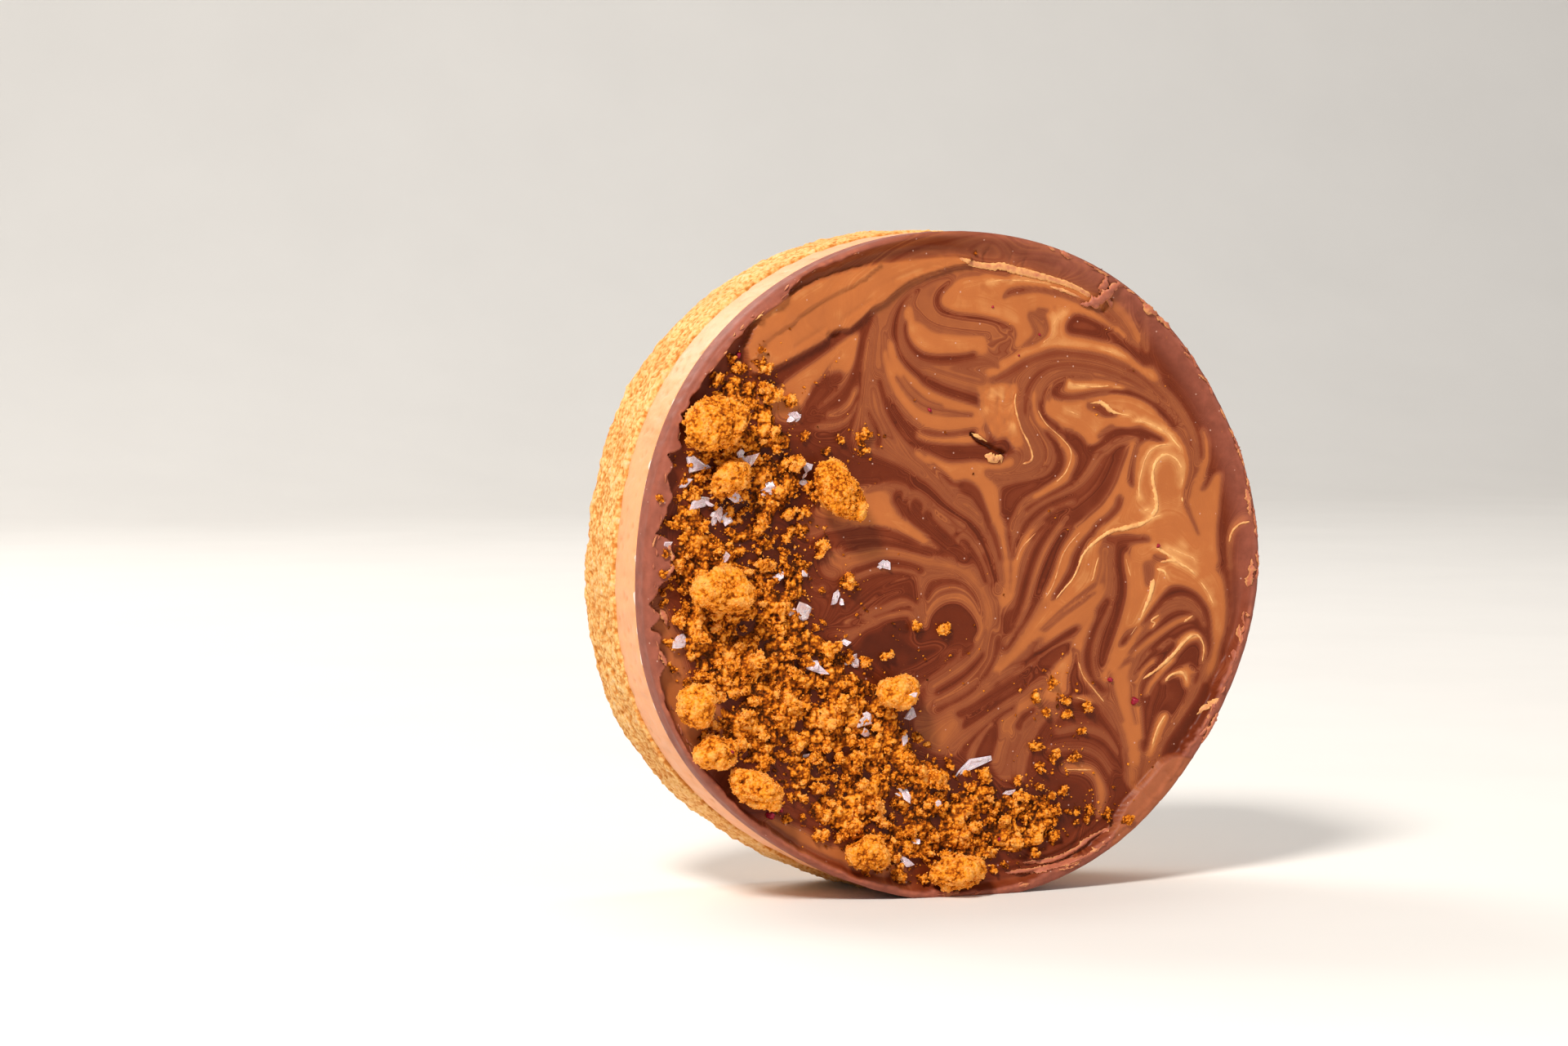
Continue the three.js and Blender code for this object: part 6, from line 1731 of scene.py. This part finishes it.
class COOKIE_OT_crescent(bpy.types.Operator):
    """Makes the crescent: its bed of fine crumbs, the clumps and the loose grains"""

    bl_idname = "cookie.crescent"
    bl_label = "Crescent of crumbs"

    def execute(self, context):
        self.make_bed()
        self.make_clumps()
        self.make_grains()
        return {"FINISHED"}

    def make_bed(self):
        xs, zs = np.arange(-38.0, 17.0, BED_PITCH), np.arange(-38.0, 27.0, BED_PITCH)
        x, z = (g.ravel() for g in np.meshgrid(xs, zs))
        relief = crumbly(flat(x, z), 0.8, 6.0)
        height = pile(x, z) + 0.6 * relief - 0.2
        keep = (height > BED_SINK) & (np.hypot(x, z) < 37.6)
        quads = grid_faces(np.arange(len(x)).reshape(len(zs), len(xs)))
        tint = 0.08 * noise(x / 4, 2.0, z / 4)
        # Painted light and shade: the bed is darker in its creases and where it lies low, lighter where it
        # heaps up, with a random tint.
        shade = np.clip(1.1 * relief - 0.2 + 0.4 * np.clip(height, 0, 1) + tint, 0, 1)
        places = np.stack([x, face(x, z) - np.maximum(height, BED_SINK), z], 1)
        points, quads, shade = kept(places, quads, keep, shade)
        maker = MeshMaker()
        maker.add(points, quads, shade=shade)
        maker.make("crumb_bed", crumb_finish("fine crumb"), ["crumb_crescent"])

    def make_clumps(self):
        rng = np.random.default_rng(7)
        placed, wanted = list(CLUMPS), sizes().crumb_clumps
        tries = 0
        while len(placed) < wanted and tries < 60000:
            tries += 1
            x, z = rng.uniform(-38, 18), rng.uniform(-38, 28)
            across, along = (float(v) for v in crescent_share(x, z))
            edge = min(across, 1 - across, 12 * along, 12 * (1 - along))
            chance = (0.3 + 4 * (edge + 0.08)) * mix(0.55, 1, step(8, -14, z))
            if edge < -0.08 or rng.uniform() > chance:
                continue
            radius = rng.uniform(0.4, 0.75) if rng.uniform() < 0.6 else rng.uniform(0.75, 1.5)
            if all((x - a) ** 2 + (z - b) ** 2 > (0.82 * (radius + c)) ** 2 for a, b, c in placed):
                placed.append((x, z, radius))
        blobs = [self.clump(rng, x, z, radius) for x, z, radius in placed]
        centres, reach = (np.concatenate(each) for each in zip(*blobs))
        maker = MeshMaker()
        scatter(maker, rng, ball(1), centres * MM, reach * MM, np.full(len(reach), 0.5), 0.1)
        raw = bpy.data.meshes.new("blobs")
        raw.from_pydata(np.vstack(maker.points).tolist(), [], np.concatenate(maker.faces).tolist())
        q, out, faces = remeshed(raw, CLUMP_PITCH, 2)
        q = q / MM
        relief = crumbly(q, 0.66, 3.0)
        lift = face(q[:, 0], q[:, 2]) - q[:, 1]
        q = q + out * (0.34 * relief - 0.11)[:, None]
        tint = 0.12 * noise(*(q / 1.7).T) + 0.05 * noise(q[:, 0] / 5, 3.0, q[:, 2] / 5)
        # Painted light and shade: darker in the creases and low down by the chocolate, lighter on raised and
        # high parts, with a random tint.
        shade = 0.53 + 1.2 * (relief - 0.33) + 0.3 * (np.clip(lift, 0, 1.4) - 0.7) + tint
        shade = np.clip(shade, 0, 1)
        some = rng.choice(np.flatnonzero(lift > 0.1), sizes().stuck_grains, replace=False)
        self.stuck = (q[some] + 0.06 * out[some], rng.uniform(0.06, 0.17, len(some)), shade[some] + 0.12)
        points, faces, shade = kept(q, faces, lift > -0.22, shade)
        maker = MeshMaker()
        maker.add(points, faces, shade=shade)
        maker.make("crumb_clumps", crumb_finish("crumb clump"))

    def clump(self, rng, x, z, radius):
        """One clump as blobs that grow out of each other: their centres and radii."""
        base = float(face(x, z)) - max(float(pile(x, z)), 0)
        high = radius * rng.uniform(0.7, 1.05)
        centres, radii = [np.array([x, base - 0.25 * high, z])], [0.5 * radius]
        wanted = int(5 + 11 * radius**1.7)
        for _ in range(wanted * 6):
            if len(centres) > wanted:
                break
            parent = int(len(centres) * rng.uniform() ** 1.5)
            way = rng.normal(size=3)
            way /= np.linalg.norm(way)
            size = rng.uniform(0.13, 0.3) * (0.7 + 0.35 * radius)
            spot = centres[parent] + way * (0.85 * radii[parent] + 0.45 * size)
            is_near = (spot[0] - x) ** 2 + (spot[2] - z) ** 2 < (1.1 * radius) ** 2
            if is_near and base - 1.15 * high < spot[1] < base + 0.1:
                centres.append(spot)
                radii.append(size)
        return np.array(centres), np.array(radii)

    def make_grains(self):
        rng = np.random.default_rng(31)
        ground = Ground("crumb_bed")
        spots, wanted = [], sizes().loose_grains
        while len(spots) < wanted:
            x, z = rng.uniform(-38.4, 20), rng.uniform(-38.4, 30)
            if math.hypot(x, z) > 38.2:
                continue
            across, along = (float(v) for v in crescent_share(x, z))
            off = max(-across, across - 1, -6 * along, 6 * (along - 1), 0)
            if rng.uniform() < math.exp(-off * 20):
                spots.append((x, z))
        for x, z, spread, count in STRAY_GROUPS:
            strays = [(x + rng.normal() * spread, z + rng.normal() * spread) for _ in range(count)]
            spots += [(a, b) for a, b in strays if math.hypot(a, b) < 37.5]
        x, z = np.array(spots).T
        size = sizes().grain_size * (0.3 + 0.7 * rng.uniform(0, 1, len(x)) ** 2)
        y = np.array([ground.front(a, b) for a, b in spots]) - 0.5 * size
        shades = np.clip(rng.normal(0.55, 0.18, len(x)), 0.1, 0.95)
        maker = MeshMaker()
        scatter_grains(maker, rng, np.stack([x, y, z], 1), size, shades)
        places, reach, shades = self.stuck
        scatter_grains(maker, rng, places, reach, np.clip(shades, 0, 1))
        maker.make("loose_grains", crumb_finish("loose grain"))


class COOKIE_OT_lumps(bpy.types.Operator):
    """Makes the biscuit lumps from their solids, with nodules and pits"""

    bl_idname = "cookie.lumps"
    bl_label = "Biscuit lumps"

    def execute(self, context):
        rng = np.random.default_rng(19)
        maker = MeshMaker()
        names = sorted(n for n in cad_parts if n.startswith("crumb_lump_"))
        grain = sizes().lump_nodules
        for number, name in enumerate(names):
            co, out, faces = remeshed(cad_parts[name].data.copy(), LUMP_PITCH, 14)
            q = co / MM - CENTRE
            q[:, 1] += LUMP_GAP
            lobes = rough(q, 2.8, 2, number)
            relief = crumbly(q, grain * 1.5, number)
            pits = np.clip(0.34 - nodules(q, 1.7, number + 9), 0, 1)
            height = 0.1 + 0.5 * relief + 0.6 * lobes - 1.1 * pits
            tint = 0.06 * rng.normal() + 0.1 * noise(*(q / 1.3).T)
            # Painted light and shade: darker in the creases and pits, lighter on the raised nodules and
            # lobes, with a random tint.
            shade = np.clip(0.68 + 0.9 * (relief - 0.33) + 0.1 * lobes - 0.9 * pits + tint, 0, 1)
            q = q + out * height[:, None]
            maker.add(q, faces, shade=shade)
            some = rng.choice(len(q), len(q) // 7, replace=False)
            reach = rng.uniform(0.06, 0.17, len(some))
            scatter_grains(maker, rng, q[some] + 0.05 * out[some], reach, shade[some] + 0.1)
        maker.make("biscuit_lumps", crumb_finish("biscuit lump"), names)
        return {"FINISHED"}


class COOKIE_OT_salt(bpy.types.Operator):
    """Lays the salt flakes on the crumbs and on the bare chocolate"""

    bl_idname = "cookie.salt"
    bl_label = "Salt flakes"

    def execute(self, context):
        rng = np.random.default_rng(41)
        ground = Ground("crumb_bed", "crumb_clumps", "biscuit_lumps")
        maker = MeshMaker()
        for x, z, long, slim, turn in SALT:
            size = SALT_SCALE * long
            rest = ground.over(x, z, 0.3 * size)
            self.add_flake(maker, rng, x, z, size, slim, turn, rest)
            if 1.8 < size < 4:
                for _ in range(rng.integers(1, 4)):
                    a, b = x + rng.normal() * 0.28 * size, z + rng.normal() * 0.28 * size
                    part, slim = size * rng.uniform(0.35, 0.6), rng.uniform(0.4, 0.9)
                    self.add_flake(maker, rng, a, b, part, slim, rng.uniform(0, 6), rest - 0.1)
        maker.make("salt_flakes", salt_finish())
        return {"FINISHED"}

    def add_flake(self, maker, rng, x, z, size, slim, turn, rest):
        """A cracked plate with stepped, sloping sides."""
        corners = rng.integers(5, 9)
        angle = (rng.uniform(0, 0.75, corners) + np.arange(corners)) / corners * 2 * math.pi
        reach = 0.54 * size * rng.uniform(0.5, 1.15, corners)
        plate = np.stack([reach * np.cos(angle), slim * reach * np.sin(angle)], 1)
        thick = 0.1 * size**0.5 + 0.08
        lean = rng.normal(size=2) * (0.42 if size < 4 else 0.1)
        rings = []
        for share, rise in FLAKE_STEPS:
            ring = plate * share + rng.normal(size=(1, 2)) * 0.02 * size
            high = rise * thick + ring @ lean + rng.normal(size=corners) * 0.02 * size
            rings.append(np.stack([ring[:, 0], -high, ring[:, 1]], 1))
        a, y, b = np.concatenate(rings).T
        cos, sin = math.cos(turn), math.sin(turn)
        place = np.stack([a * cos - b * sin, y, a * sin + b * cos], 1) + (x, rest + 0.12 * thick, z)
        faces, index = stacked_rings(len(FLAKE_STEPS), corners, 0)
        tips = np.stack([place[index[0]].mean(0), place[index[-1]].mean(0)])
        bottom, top = fan(index[0], len(place)), fan(index[-1], len(place) + 1, behind=True)
        maker.add(np.concatenate([place, tips]), (faces, bottom, top), False, shade=0.5)


class COOKIE_OT_berry(bpy.types.Operator):
    """Adds the crimson specks of dried berry"""

    bl_idname = "cookie.berry"
    bl_label = "Berry specks"

    def execute(self, context):
        rng = np.random.default_rng(53)
        ground = Ground("crumb_bed", "crumb_clumps", "biscuit_lumps")
        centres = [(x, ground.front(x, z) - 0.4 * size, z) for x, z, size in BERRIES]
        reach = [size for *_, size in BERRIES]
        maker = MeshMaker()
        scatter(maker, rng, ball(1), centres, reach, np.full(len(reach), 0.5), 0.25)
        maker.make("berry_specks", berry_finish())
        return {"FINISHED"}


class COOKIE_PT_panel(bpy.types.Panel):
    """Lists the round's pieces, its sizes and its colours"""

    bl_idname = "COOKIE_PT_panel"
    bl_label = "Shortbread round"
    bl_space_type = "VIEW_3D"
    bl_region_type = "UI"
    bl_category = "Shortbread"

    def draw(self, context):
        for operator in OPERATORS:
            self.layout.operator(operator.bl_idname)
        for group in (context.scene.cookie_sizes, context.scene.cookie_colours):
            box = self.layout.box()
            for key in setting_names(group):
                box.prop(group, key)


OPERATORS = (
    COOKIE_OT_stage, COOKIE_OT_chocolate, COOKIE_OT_ridges, COOKIE_OT_shavings, COOKIE_OT_caramel,
    COOKIE_OT_shortbread, COOKIE_OT_crescent, COOKIE_OT_lumps, COOKIE_OT_salt, COOKIE_OT_berry,
)
CLASSES = (CookieSizes, CookieColours, *OPERATORS, COOKIE_PT_panel)


def register():
    for cls in CLASSES:
        bpy.utils.register_class(cls)
    bpy.types.Scene.cookie_sizes = PointerProperty(type=CookieSizes)
    bpy.types.Scene.cookie_colours = PointerProperty(type=CookieColours)


def unregister():
    del bpy.types.Scene.cookie_colours
    del bpy.types.Scene.cookie_sizes
    for cls in reversed(CLASSES):
        bpy.utils.unregister_class(cls)


def main():
    register()
    for operator in OPERATORS:
        group, name = operator.bl_idname.split(".")
        getattr(getattr(bpy.ops, group), name)()
    bpy.context.view_layer.update()


if __name__ == "__main__":
    main()
